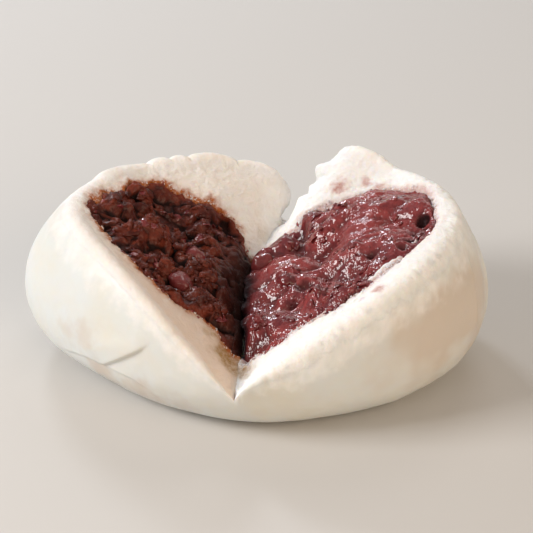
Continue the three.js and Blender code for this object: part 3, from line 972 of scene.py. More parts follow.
@dataclass(frozen=True)
class RimEdge:
    """Uneven torn edge: bites cut out of it, soft lobes that stand on it and fine teeth."""

    bites: tuple[tuple[float, float], ...]
    lobes: tuple[tuple[float, float, float], ...]
    cut: tuple[tuple[float, float], ...]
    cut_from: float
    teeth_height: float
    teeth_from: float
    teeth_least: float
    teeth_size: float = 2.4
    lobe_reach: float = 6.5
    tooth_reach: float = 3.4
    turn_across: tuple[float, float] = (0.84, 0.90)
    window: tuple[float, float, float, float] = (0.0, 0.03, 0.985, 1.0)
    ease: tuple[float, float] = (0.03, 0.07)
    skin_fade: float = 2.5
    free_from: float = 0.5

    def push(self, share: Array, crest: Array, noise: Noise) -> tuple[Array, Array]:
        """How far the edge stands out beyond the smooth rim.

        Lobes are half ellipses that meet in cusps. Bites are straight lines between given heights, and
        the teeth are noise that is strongest past a given share.

        Args:
            share: Shares of the rim's length.
            crest: Points of the rim.
            noise: Field for the teeth.

        Returns:
            Height of the lobes, and height of the bites and teeth together.
        """
        lobes = np.zeros(len(share))
        for start, end, top in self.lobes:
            offset = (2.0 * share - start - end) / (end - start)
            lobes = np.maximum(lobes, top * np.sqrt(np.clip(1.0 - offset**2, 0.0, 1.0)))
        places, heights = np.array(self.bites).T
        bites = np.interp(share, places, heights)
        full = smooth_step(share, self.teeth_from, self.teeth_from + self.ease[0])
        strength = mix(self.teeth_least, 1.0, full)
        teeth = self.teeth_height * strength * noise.layers(crest, self.teeth_size, 3, 0.65)
        return lobes, bites + teeth

    def shift(self, shape: HalfShape, share: Array, step: Array, points: Array, noise: Noise) -> Array:
        """Moves a half's grid near its rim square to the rim: up the torn face, and across it by the notch.

        Past a given share of the rim the edge is also cut back in steps that run slanting down the tear.
        The shift dies out towards the crease, where the two halves stay joined.

        Args:
            shape: The half.
            share: Shares of the rim, one for each row of the grid.
            step: Share of the way over the rounded rim, one for each column, negative on the skin.
            points: Grid of points.
            noise: Field for the teeth.

        Returns:
            The moved points.
        """
        crest, crease = SHAPE.rim(shape, share)[2], SHAPE.crease(share)
        along = unit(np.gradient(crest, axis=0))
        up_face = unit(crest - crease)
        across = unit(np.array([-shape.half.value, 0.0, 0.4]))
        away = mix(up_face, across, smooth_step(share, *self.turn_across)[:, None])
        out = unit(away - np.sum(away * along, axis=-1, keepdims=True) * along)
        lobes, teeth = self.push(share, crest, noise)
        gap = np.linalg.norm(points - crest[:, None], axis=-1)
        ends = plateau(share, *self.window)
        lobed = lobes[:, None] * bell(gap, self.lobe_reach)
        toothed = teeth[:, None] * bell(gap, self.tooth_reach)
        push = ends[:, None] * (lobed + toothed)
        slant, amounts = np.array(self.cut).T
        cut = np.interp(points @ TEAR_SLANT, slant, amounts) * smooth_step(step, -self.skin_fade, 0.0)[None]
        cut *= (ends * smooth_step(share, self.cut_from, self.cut_from + self.ease[1]))[:, None]
        reach = np.maximum(np.linalg.norm(crest - crease, axis=-1), 0.1)
        above = np.linalg.norm(points - crease[:, None], axis=-1) / reach[:, None]
        free = smooth_step(above, 0.0, self.free_from)[..., None]
        return points + free * (out[:, None] * push[..., None] + cut[..., None] * TEAR_ACROSS)


RIM_EDGES = {
    Half.RIGHT: RimEdge(
        bites=(
            (0.0, 0.6), (0.5, 0.8), (0.66, 0.2), (0.70, 0.0), (0.735, 1.0), (0.80, 1.4), (0.848, 0.4),
            (0.87, 0.0), (1.0, 0.0),
        ),
        lobes=(),
        cut=(
            (26.0, 0.0), (30.0, 0.5), (31.6, 1.0), (32.8, 2.0), (34.6, 1.65), (36.9, 0.95),
            (38.9, 0.5), (40.4, 0.1), (41.2, 1.1), (41.6, 2.2), (43.0, 1.5), (43.9, 1.1), (44.3, 1.95),
            (45.1, 2.5), (46.2, 1.9), (47.4, 0.35), (48.1, -0.1), (49.05, -0.8), (49.5, 0.6), (49.9, 1.5),
            (50.6, 1.9), (52.6, 1.4), (54.5, 0.4), (56.0, 0.0),
        ),
        cut_from=0.76,
        teeth_height=0.7,
        teeth_from=0.80,
        teeth_least=0.35,
    ),
    Half.LEFT: RimEdge(
        bites=((0.0, 0.0), (0.55, 0.3), (0.66, 0.6), (0.84, 0.6), (0.93, 0.4), (1.0, 0.0)),
        lobes=(
            (0.58, 0.68, 1.5), (0.68, 0.716, 1.5), (0.716, 0.745, 1.4), (0.745, 0.825, 2.0),
            (0.825, 0.905, 1.3),
        ),
        cut=((33.6, 0.0), (34.6, -2.4), (36.1, -2.3), (37.6, -1.3), (39.2, 0.0)),
        cut_from=0.90,
        teeth_height=0.45,
        teeth_from=0.90,
        teeth_least=0.25,
    ),
}


@dataclass(frozen=True)
class Stain:
    """Patch of colour, in millimetres of the shared frame: paste that soaked into the crumb, or painted tan
    shade on the skin.
    """

    layer: str
    place: tuple[float, float, float]
    reach: float
    strength: float
    fray: float = 0.45
    fray_size: float = 0.9
    core: float = 0.2
    edge: float = 1.5

    def at(self, points: Array, noise: Noise) -> Array:
        """Soft step down with the distance from its middle, which is frayed by noise."""
        distance = np.linalg.norm(points - about_plan(*self.place), axis=-1)
        frayed = distance + self.fray * self.reach * noise.layers(points, self.fray_size * self.reach, 3, 0.6)
        return self.strength * (1.0 - smooth_step(frayed, self.core * self.reach, self.edge * self.reach))


STAINS = {
    Half.RIGHT: (
        Stain("pink", (19.6, 29.5, 34.4), 2.2, 0.75),
        Stain("pink", (26.5, 29.5, 36.2), 1.6, 0.65),
        Stain("pink", (30.5, 25.8, 36.4), 2.4, 0.75),
        Stain("pink", (32.5, -28.4, 34.4), 1.6, 0.75),
        Stain("pink", (29.0, -30.5, 32.6), 0.9, 0.6),
        Stain("pink", (45.0, 3.5, 38.5), 1.8, 0.5),
        Stain("olive", (0.5, -37.0, 15.5), 3.2, 0.8),
    ),
    Half.LEFT: (
        Stain("rust", (-42.9, 8.9, 37.0), 2.6, 1.0),
        Stain("rust", (-22.0, 26.0, 31.6), 3.2, 0.95),
        Stain("rust", (-14.5, 28.2, 29.0), 3.0, 0.9),
        Stain("rust", (-6.0, 19.6, 19.6), 2.2, 0.85),
        Stain("olive", (-1.3, 28.9, 18.0), 4.0, 0.28),
        Stain("olive", (-4.0, -33.0, 14.5), 5.2, 1.0),
        Stain("olive", (-8.5, -29.0, 17.0), 3.8, 0.8),
        Stain("pink", (-35.0, -14.0, 31.5), 2.4, 0.22),
    ),
}


@dataclass(frozen=True)
class Bulge:
    """Place where the paste's outline stands out past its smooth line, or draws back where it is negative."""

    place: tuple[float, float, float]
    reach: float
    amount: float


BULGES = {
    Half.RIGHT: (
        Bulge((1.5, 14.4, 18.1), 2.6, 2.6),
        Bulge((4.7, 15.1, 20.0), 1.5, -2.6),
        Bulge((7.2, 18.7, 21.6), 3.0, 2.4),
        Bulge((11.0, 21.4, 24.4), 1.4, -2.6),
        Bulge((14.1, 24.8, 27.1), 3.2, -0.6),
        Bulge((17.5, 26.0, 29.0), 4.0, -2.3),
        Bulge((43.2, 0.5, 38.0), 3.6, 1.7),
        Bulge((42.0, -6.0, 37.4), 3.6, 1.7),
        Bulge((3.2, 22.5, 19.8), 3.0, -1.6),
        Bulge((8.3, 23.6, 24.1), 2.5, -1.4),
        Bulge((16.6, 27.2, 30.2), 2.5, 1.4),
        Bulge((22.1, 24.1, 31.1), 2.6, -0.8),
        Bulge((30.6, 22.4, 35.2), 3.0, 1.0),
        Bulge((18.8, -26.0, 26.4), 4.0, 0.8),
        Bulge((27.0, -20.5, 30.6), 1.8, -1.0),
    ),
    Half.LEFT: (
        Bulge((-42.0, 9.5, 36.6), 2.2, -2.4),
        Bulge((-39.2, 17.8, 36.9), 5.0, -2.4),
        Bulge((-34.7, 22.9, 35.9), 5.0, -1.8),
        Bulge((-31.5, 27.0, 35.0), 3.0, -0.8),
        Bulge((-27.8, 29.2, 34.3), 1.6, 0.8),
        Bulge((-23.8, 26.3, 31.1), 2.0, -1.2),
        Bulge((-21.9, 29.4, 31.7), 1.2, 0.9),
        Bulge((-19.2, 26.5, 29.1), 1.8, -1.3),
        Bulge((-15.6, 29.8, 29.5), 1.2, 0.9),
        Bulge((-13.1, 26.8, 26.1), 1.6, -1.0),
        Bulge((-10.1, 26.7, 24.4), 1.3, 1.0),
    ),
}
OUTLINE_SPREAD = 0.7
OUTLINE_STEPS = 120
OUTLINE_FRAY_SIZE = 3.4
CREASE_FROM = 0.995
INSIDE_DEPTH = 0.9995
PASTE_DIP = 2.6
PASTE_DIP_BAND = (0.2, 1.8)


def paste_reach(shape: HalfShape, noise: Noise, share: Array, depth: Array, points: Array) -> Array:
    """Frayed distance inside the paste's outline, negative outside it.

    The distance is to the nearest point of the outline's front, outer and back edges. Bulges shaped like
    bells and layered noise are added to it, so that the outline is lobed and frayed.

    Args:
        shape: The half.
        noise: Field that frays the outline.
        share: Share of the rim at each place.
        depth: Share down to the crease at each place.
        points: The places on the torn face.

    Returns:
        Distance in millimetres.
    """
    border = shape.paste.border(OUTLINE_STEPS)
    edge = border[border[:, 1] < CREASE_FROM]
    rim_points = SHAPE.face(shape, edge[:, 0], edge[:, 1])
    distance = nearest_distance(points.reshape(-1, 3), rim_points).reshape(share.shape)
    inside = shape.paste.holds(share, np.minimum(depth, INSIDE_DEPTH))
    uneven = shape.fray * noise.layers(points, OUTLINE_FRAY_SIZE, 4, 0.62) + OUTLINE_SPREAD
    for bulge in BULGES[shape.half]:
        away = np.linalg.norm(points - about_plan(*bulge.place), axis=-1)
        uneven += bulge.amount * bell(away, bulge.reach)
    return np.where(inside, distance, -distance) + uneven


def paste_dip(inside: Array) -> Array:
    """How far the crumb dips under the paste, from the distance inside the paste's outline."""
    return PASTE_DIP * smooth_step(inside, *PASTE_DIP_BAND)


MM_PER_DEGREE = 0.87
FAR = 99.0


@dataclass(frozen=True)
class SkinFold:
    """Crisp fold pressed into the skin: a lip on one side of a line and a step down on the other."""

    line: tuple[tuple[float, float], ...]
    lip: float
    lip_reach: float
    step: float
    step_reach: float
    softness: float = 0.45
    window: tuple[float, float, float, float] = (0.0, 0.25, 0.75, 1.0)

    def measure(self, angle: Array, level: Array) -> tuple[Array, Array]:
        """Distance across the line and share along it, with degrees round the plan turned into millimetres.

        Args:
            angle: Angle in the plan.
            level: Level above the underside.

        Returns:
            Distance from the nearest part of the line, positive on its left, and the share along it.
        """
        u, v = MM_PER_DEGREE * np.degrees(angle), level
        corners = np.array(self.line) * [MM_PER_DEGREE, 1.0]
        across, along = np.full(u.shape, FAR), np.zeros(u.shape)
        for number, (start, end) in enumerate(zip(corners[:-1], corners[1:])):
            way = end - start
            share = np.clip(((u - start[0]) * way[0] + (v - start[1]) * way[1]) / np.sum(way**2), 0.0, 1.0)
            off_u, off_v = u - start[0] - share * way[0], v - start[1] - share * way[1]
            distance = np.hypot(off_u, off_v) * np.where(way[0] * off_v - way[1] * off_u >= 0.0, 1.0, -1.0)
            nearer = np.abs(distance) < np.abs(across)
            across = np.where(nearer, distance, across)
            along = np.where(nearer, (number + share) / (len(corners) - 1), along)
        return across, along

    def height_at(self, angle: Array, level: Array) -> Array:
        """Lip that falls off to the line's left, and step that recovers to its right, as exponentials."""
        across, along = self.measure(angle, level)
        window = plateau(along, *self.window)
        side = smooth_step(across, -self.softness, self.softness)
        lip = self.lip * np.exp(-np.maximum(across, 0.0) / self.lip_reach)
        step = self.step * np.exp(np.minimum(across, 0.0) / self.step_reach)
        return window * (side * lip - (1.0 - side) * step)


SKIN_FOLDS = (
    SkinFold(
        line=((-140, 11.5), (-136, 13), (-130.6, 16), (-124, 19.8), (-119, 23.2)),
        lip=0.72, lip_reach=3.0, step=0.28, step_reach=1.4,
    ),
    SkinFold(
        line=(
            (-160, 8), (-150, 10.8), (-143.6, 12.0), (-134.5, 11.6), (-126.8, 11.4), (-122.3, 9.6),
            (-116, 6),
        ),
        lip=0.40, lip_reach=2.5, step=0.85, step_reach=4.5,
    ),
    SkinFold(
        line=((-12.4, 14), (-12.4, 20), (-11.4, 27), (-8.6, 33), (-3, 37.5)),
        lip=0.70, lip_reach=2.0, step=0.95, step_reach=3.5,
    ),
)
RIM_SHARES = np.linspace(0.0, 1.0, 401)
CRUMB_SHARES = RIM_SHARES[2:-2]
OVER_RINGS = 20
# tan painted shade on the skin: in the hollow above the fold, in the band under it and down the right side
SKIN_SHADE_PATCHES = (
    Stain("tan_shade", (-38.6, -29.6, 18.2), 4.0, 0.6),
    Stain("tan_shade", (-43.8, -25.2, 17.4), 3.5, 0.45),
    Stain("tan_shade", (-35.2, -30.3, 8.0), 5.5, 0.85),
    Stain("tan_shade", (-24.1, -36.9, 7.5), 5.5, 0.75),
    Stain("tan_shade", (-13.7, -41.0, 6.5), 4.5, 0.45),
    Stain("tan_shade", (45.2, -26.9, 24.0), 15.0, 1.0),
    Stain("tan_shade", (54.0, -12.0, 24.0), 15.0, 1.0),
)


@dataclass
class Dough:
    """Both halves of the bread as one closed mesh, from the underside to under the torn crumb."""

    skin_rings: int = 90
    face_rings: int = 14
    swell: float = 0.45
    swell_size: float = 24.0
    dimple: float = 0.10
    dimple_size: float = 5.0
    swell_window: tuple[float, float, float, float] = (0.0, 0.08, 0.92, 1.0)
    flat_below: float = 4.0
    under_crumb: float = 3.4
    least_under: float = 0.2
    under_slope: float = 0.55
    under_band: tuple[float, float] = (0.45, 1.2)
    inner_window: tuple[float, float, float, float] = (0.02, 0.07, 0.93, 0.98)
    seed: int = 11

    @cached_property
    def inner(self) -> Array:
        """Share of the full depth under the crumb, which fades out towards both tips of the tear."""
        return plateau(RIM_SHARES, *self.inner_window)

    def half_grid(self, shape: HalfShape, noise: Noise) -> tuple[Array, Array, Array]:
        """One half's grid of points, and how torn and how warm each is.

        The skin swells by soft noise along its normal, and past the rim the grid sinks under the crumb.

        Args:
            shape: The half.
            noise: Field that the unevenness is read from.

        Returns:
            Points and the layers torn and warm.
        """
        share = RIM_SHARES
        points = SHAPE.profile(shape, share, (self.skin_rings, OVER_RINGS, self.face_rings))
        step = (np.arange(points.shape[1]) - self.skin_rings) / OVER_RINGS
        torn = torn_share(step[None], points, DOUGH_NOISE)
        points = RIM_EDGES[shape.half].shift(shape, share, step, points, noise)
        normals = grid_normals(points) * shape.half.value
        ends = plateau(share, *self.swell_window)[:, None]
        ground = smooth_step(points[..., 2], 0.0, self.flat_below)
        swells = self.swell * noise.layers(points, self.swell_size, 3, 0.4)
        skin = swells + self.dimple * noise.layers(points, self.dimple_size, 2, 0.5)
        skin = skin * smooth_step(-step, 0.0, 1.0)[None] * ground * ends
        gap = np.linalg.norm(points - SHAPE.rim(shape, share)[2][:, None], axis=-1)
        room = np.minimum(self.under_crumb, self.least_under + self.under_slope * gap)
        sunk = room * smooth_step(step, *self.under_band)[None] * self.inner[:, None]
        angle = np.arctan2(points[..., 1], points[..., 0])
        creased = sum(fold.height_at(angle, points[..., 2]) for fold in SKIN_FOLDS)
        creased = creased * smooth_step(-step, 0.0, 0.5)[None]
        moved = points + normals * (skin + creased - sunk)[..., None]
        return moved, torn, shape.warmth_at(share, step)

    def build(self, material: bpy.types.Material) -> None:
        """Joins the halves: shared ends and crease, and a fan over the flat underside."""
        noise = Noise(self.seed)
        right, torn_right, warm_right = self.half_grid(RIGHT_SHAPE, noise)
        left, torn_left, warm_left = self.half_grid(LEFT_SHAPE, noise)
        crease = SHAPE.crease(RIM_SHARES)
        crease[:, 2] -= self.under_crumb * self.inner
        first_torn = self.skin_rings
        last = len(RIM_SHARES) - 1
        for grid in (right, left):
            grid[:, -1] = crease
            grid[0, first_torn:] = crease[0]
            grid[-1, first_torn:] = crease[-1]
        left[0, :first_torn] = right[0, :first_torn]
        left[-1, :first_torn] = right[-1, :first_torn]
        loop = np.concatenate([right, left[-2:0:-1]])
        torn = np.concatenate([torn_right, torn_left[-2:0:-1]]).reshape(-1)
        warm = np.concatenate([warm_right, warm_left[-2:0:-1]]).reshape(-1)
        rows, columns = loop.shape[:2]
        index = np.arange(rows * columns).reshape(rows, columns)
        index[0, first_torn:] = index[0, -1]
        index[last, first_torn:] = index[last, -1]
        index[last + 1 :, -1] = index[last - 1 : 0 : -1, -1]
        after = np.roll(index, -1, axis=0)
        quads = np.stack([index[:, :-1], after[:, :-1], after[:, 1:], index[:, 1:]], axis=-1).reshape(-1, 4)
        whole, pinched = split_faces(quads)
        fan = np.stack([np.full(rows, rows * columns), after[:, 0], index[:, 0]], axis=-1)
        middle = -np.array(SHAPE.plan_centre)
        points = np.concatenate([loop.reshape(-1, 3), middle[None]])
        # painted tan shade on the skin
        tan_shade = sum(patch.at(points, noise) for patch in SKIN_SHADE_PATCHES)
        layers = {"torn": np.append(torn, 0.0), "warm": np.append(warm, 0.0), "tan_shade": tan_shade}
        piece = make_piece("bun_dough", points, whole, np.concatenate([pinched, fan]), material, layers)
        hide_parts("dough")


@dataclass
class TornCrumb:
    """Fluffy crumb on one torn face, as a closed layer tucked under the skin and under the paste."""

    shape: HalfShape
    face_rings: int = 176
    thickness: float = 1.2
    least_thickness: float = 0.05
    thickness_slope: float = 0.25
    puff: float = 0.15
    puff_size: float = 2.2
    border_puff: float = 0.12
    border_reach: float = 1.6
    strand: float = 0.05
    strand_size: float = 0.9
    strand_squeeze: float = 0.72
    tuck: float = 0.04
    lift: float = 0.02
    raised_at: float = 0.4
    fringe: float = 0.07
    fringe_size: float = 2.0
    puffs_from: float = 0.12
    puffs_over: float = 0.6
    puffs_from_tips: float = 6.0
    border_swell: float = 0.45
    swell_outside: float = 1.4
    swell_reach: float = 1.3
    flat_from: float = 0.985
    tip_window: tuple[float, float, float, float] = (0.005, 0.03, 0.97, 0.995)
    tip_sink: float = 0.12
    fillet: float = 1.3
    back_fillet: float = 2.6
    fillet_reach: float = 4.0
    fillet_room: float = 0.8
    behind: tuple[float, float] = (0.78, 0.87)
    fillet_end: tuple[float, float] = (0.89, 0.96)
    patch_size: float = 8.0
    patch_shift: float = 40.0
    patch_warmth: float = 0.3
    rust_band: tuple[float, float] = (-0.9, 0.2)
    stain_start: float = 0.2
    stain_reach: float = 0.8
    rust: float = 0.0
    pink: float = 0.0
    seed: int = 5

    @cached_property
    def noise(self) -> Noise:
        """Random field of this face."""
        return Noise(self.seed)

    @cached_property
    def surface(self) -> tuple[Array, Array, Array]:
        """Grid of the crumb that shows, its normals, and the distance inside the paste's outline.

        The crumb rises by puffy noise and by strands drawn out towards the crease. It starts sunk in the
        skin outside the rim, swells a little round the paste and dips under it. The valley along the
        crease is filled by the square of the closeness to it, and more so behind the paste.
        """
        share = CRUMB_SHARES
        base = SHAPE.profile(self.shape, share, (1, OVER_RINGS, self.face_rings))[:, 1:]
        step = np.arange(base.shape[1]) / OVER_RINGS
        over = np.minimum(step, 1.0)
        down = np.clip((np.arange(base.shape[1]) - OVER_RINGS) / self.face_rings, 0.0, 1.0)
        crest, crease = SHAPE.rim(self.shape, share)[2], SHAPE.crease(share)
        reach = np.linalg.norm(crest - crease, axis=-1)
        start = SHAPE.rim_rounding / np.maximum(reach, SHAPE.rim_rounding)
        depth = mix(start[:, None], 1.0, down[None]) * (over == 1.0)
        shares = np.broadcast_to(share[:, None], depth.shape)
        inside = paste_reach(self.shape, PASTE_FRAY, shares, depth, base)
        points = RIM_EDGES[self.shape.half].shift(self.shape, share, step, base, DOUGH_NOISE)
        normals = grid_normals(points) * self.shape.half.value
        drawn = unit(crest - crease)[:, None]
        along = np.sum(points * drawn, axis=-1, keepdims=True)
        squeezed = points - self.strand_squeeze * along * drawn
        rough = self.puff + self.border_puff * bell(inside + 0.3, self.border_reach)
        puffs = rough * self.noise.billow(points, self.puff_size, 4, 0.6)
        strands = self.strand * self.noise.layers(squeezed, self.strand_size, 3, 0.6)
        frayed = over[None] + self.fringe * self.noise.layers(points, self.fringe_size, 3, 0.65)
        raised = smooth_step(frayed, 0.0, self.raised_at)
        coarse = smooth_step(frayed, self.puffs_from, self.puffs_from + self.puffs_over)
        swell = self.border_swell * bell(inside + self.swell_outside, self.swell_reach)
        ends = np.clip(np.sin(np.pi * share) * self.puffs_from_tips, 0.0, 1.0)[:, None]
        rise = mix(-self.tuck, self.lift, raised) + (puffs + strands + swell) * ends * coarse
        rise = rise * (1.0 - smooth_step(down, self.flat_from, 1.0)[None]) - paste_dip(inside)
        tips = plateau(share, *self.tip_window)
        rise = mix(-self.tip_sink, rise, tips[:, None])
        behind = smooth_step(share, *self.behind)
        room = np.minimum(self.fillet_reach * (1.0 + 0.5 * behind), self.fillet_room * reach)
        near = np.clip(1.0 - np.linalg.norm(base - crease[:, None], axis=-1) / room[:, None], 0.0, 1.0)
        points = points + normals * rise[..., None]
        filled = mix(self.fillet, self.back_fillet, behind) * tips
        filled = filled * (1.0 - smooth_step(share, *self.fillet_end))
        points[..., 2] += filled[:, None] * near**2
        return points, normals, inside

    def layers(self) -> dict[str, Array]:
        """Warmth of the crumb and its stains, which fade with distance from the paste."""
        points, _, inside = self.surface
        patch = self.noise.layers(points + self.patch_shift, self.patch_size, 3)
        near = np.exp(-np.maximum(-inside - self.stain_start, 0.0) / self.stain_reach)
        step = np.arange(inside.shape[1]) / OVER_RINGS
        warm = self.shape.warmth_at(CRUMB_SHARES, step)
        found = {
            "torn": torn_share(step[None], points, DOUGH_NOISE),
            "warm": warm + self.patch_warmth * self.shape.warmth * patch,
            "rust": self.rust * near * smooth_step(patch, *self.rust_band),
            "pink": self.pink * near,
            "olive": np.zeros_like(near),
        }
        for stain in STAINS[self.shape.half]:
            found[stain.layer] = np.maximum(found[stain.layer], stain.at(points, self.noise))
        return found

    def build(self, material: bpy.types.Material) -> None:
        """Closes the layer underneath and makes its piece."""
        top, normals, _ = self.surface
        gap = np.linalg.norm(top - SHAPE.rim(self.shape, CRUMB_SHARES)[2][:, None], axis=-1)
        thickness = np.minimum(self.thickness, self.least_thickness + self.thickness_slope * gap)
        down = -thickness[..., None] * normals
        points, quads, triangles, layers = closed_layer(top, down, self.shape.half, self.layers())
        piece = make_piece(f"torn_crumb_{self.shape.half.word}", points, quads, triangles, material, layers)


@dataclass(frozen=True)
class Mark:
    """Lump or pit at a known place of a mound, in millimetres of the shared frame, with painted shade in it
    where dark is set.
    """

    place: tuple[float, float, float]
    reach: float
    height: float
    calm: float = 0.0
    # painted shade in a pit, hole or pocket
    dark: float = 0.0
    tone: float = 0.0

    def at(self, points: Array) -> Array:
        """Round dome or pit: height times the square of 1 minus the distance squared over the reach."""
        distance = np.linalg.norm(points - about_plan(*self.place), axis=-1) / self.reach
        return np.clip(1.0 - distance**2, 0.0, 1.0) ** 2


MARKS = {
    Half.RIGHT: (
        Mark((18.8, -20.5, 26.4), 8.0, 1.5, 0.8),
        Mark((14.1, 22.6, 26.6), 5.8, 2.4, 0.5),
        Mark((7.2, 17.0, 21.6), 4.8, 2.4, 0.5),
        Mark((1.8, 12.6, 17.6), 4.0, 2.0, 0.5),
        Mark((23.0, 20.0, 30.9), 4.5, 1.2, 0.3),
        Mark((8.7, -4.7, 20.8), 4.5, 1.0, 0.4),
        Mark((8.4, -26.0, 20.3), 6.0, 1.0, 0.4),
        Mark((1.5, -8.0, 17.0), 5.0, 1.0, 0.2),
        Mark((11.8, 4.4, 23.0), 5.0, 0.7, 0.4),
        # pits with painted shade, by the last number
        Mark((14.0, -9.3, 23.5), 3.2, -1.8, 0.0, 0.6),
        Mark((10.9, -15.5, 21.6), 3.0, -1.6, 0.0, 0.6),
        Mark((24.8, -17.5, 29.3), 2.6, -1.0, 0.0, 0.3),
        Mark((26.9, 7.9, 31.2), 7.0, 0.6, 0.6),
        Mark((37.2, 8.7, 35.8), 6.0, 0.6, 0.5),
        Mark((27.8, -4.0, 30.6), 2.4, 0.8, 0.0),
        # painted shadow: the hole and the pocket under the overhang are darkened as well as sunk
        Mark((31.6, -8.6, 32.2), 3.4, -5.0, 1.0, 1.0),
        Mark((42.2, 3.6, 38.0), 3.0, -3.6, 0.8, 1.0),
        Mark((41.6, -1.2, 37.2), 3.4, -4.4, 0.9, 1.0),
        Mark((40.4, -7.6, 37.0), 2.4, -2.6, 0.6, 0.9),
        Mark((38.6, -11.5, 36.2), 1.8, -1.6, 0.4, 0.6),
    ),
    Half.LEFT: (
        # pits with painted shade, by the last number
        Mark((-26.9, -5.3, 29.2), 4.4, -1.4, 0.0, 0.5),
        Mark((-32.8, 1.1, 32.0), 3.2, -1.0, 0.0, 0.4),
        Mark((-21.7, 2.8, 25.9), 2.8, -1.4, 0.0, 0.6),
        Mark((-11.5, -17.2, 22.2), 6.5, 0.7, 0.8),
        Mark((-25.6, 15.6, 29.6), 4.0, -0.9, 0.0, 0.3),
        Mark((-16.6, 0.3, 23.5), 5.6, 0.4, 0.9),
        Mark((-17.5, -12.8, 25.1), 5.0, 0.3, 0.8),
        Mark((-11.1, -0.5, 20.6), 4.0, 0.6, 0.6),
        Mark((-30.4, 8.4, 30.2), 3.0, 0.9, 0.2),
        Mark((-33.3, -5.4, 32.8), 2.6, 0.9, 0.2),
        Mark((-27.2, 4.4, 28.7), 3.4, 0.8, 0.2),
        Mark((-35.2, 10.5, 33.4), 2.4, 0.8, 0.2),
        # tone lightens this region: partly the lighter flesh of the beans there, partly painted light where
        # the face lies in shade
        Mark((-13.0, 10.0, 21.8), 11.0, 0.0, tone=0.6),
    ),
}


UP = np.array([0.0, 0.0, 1.0])
PASTE_SLOPE = np.array([0.90, 0.04, 0.44])
TURN_UP = (0.7, 1.0)
NEAR_CREASE = (0.82, 1.0)


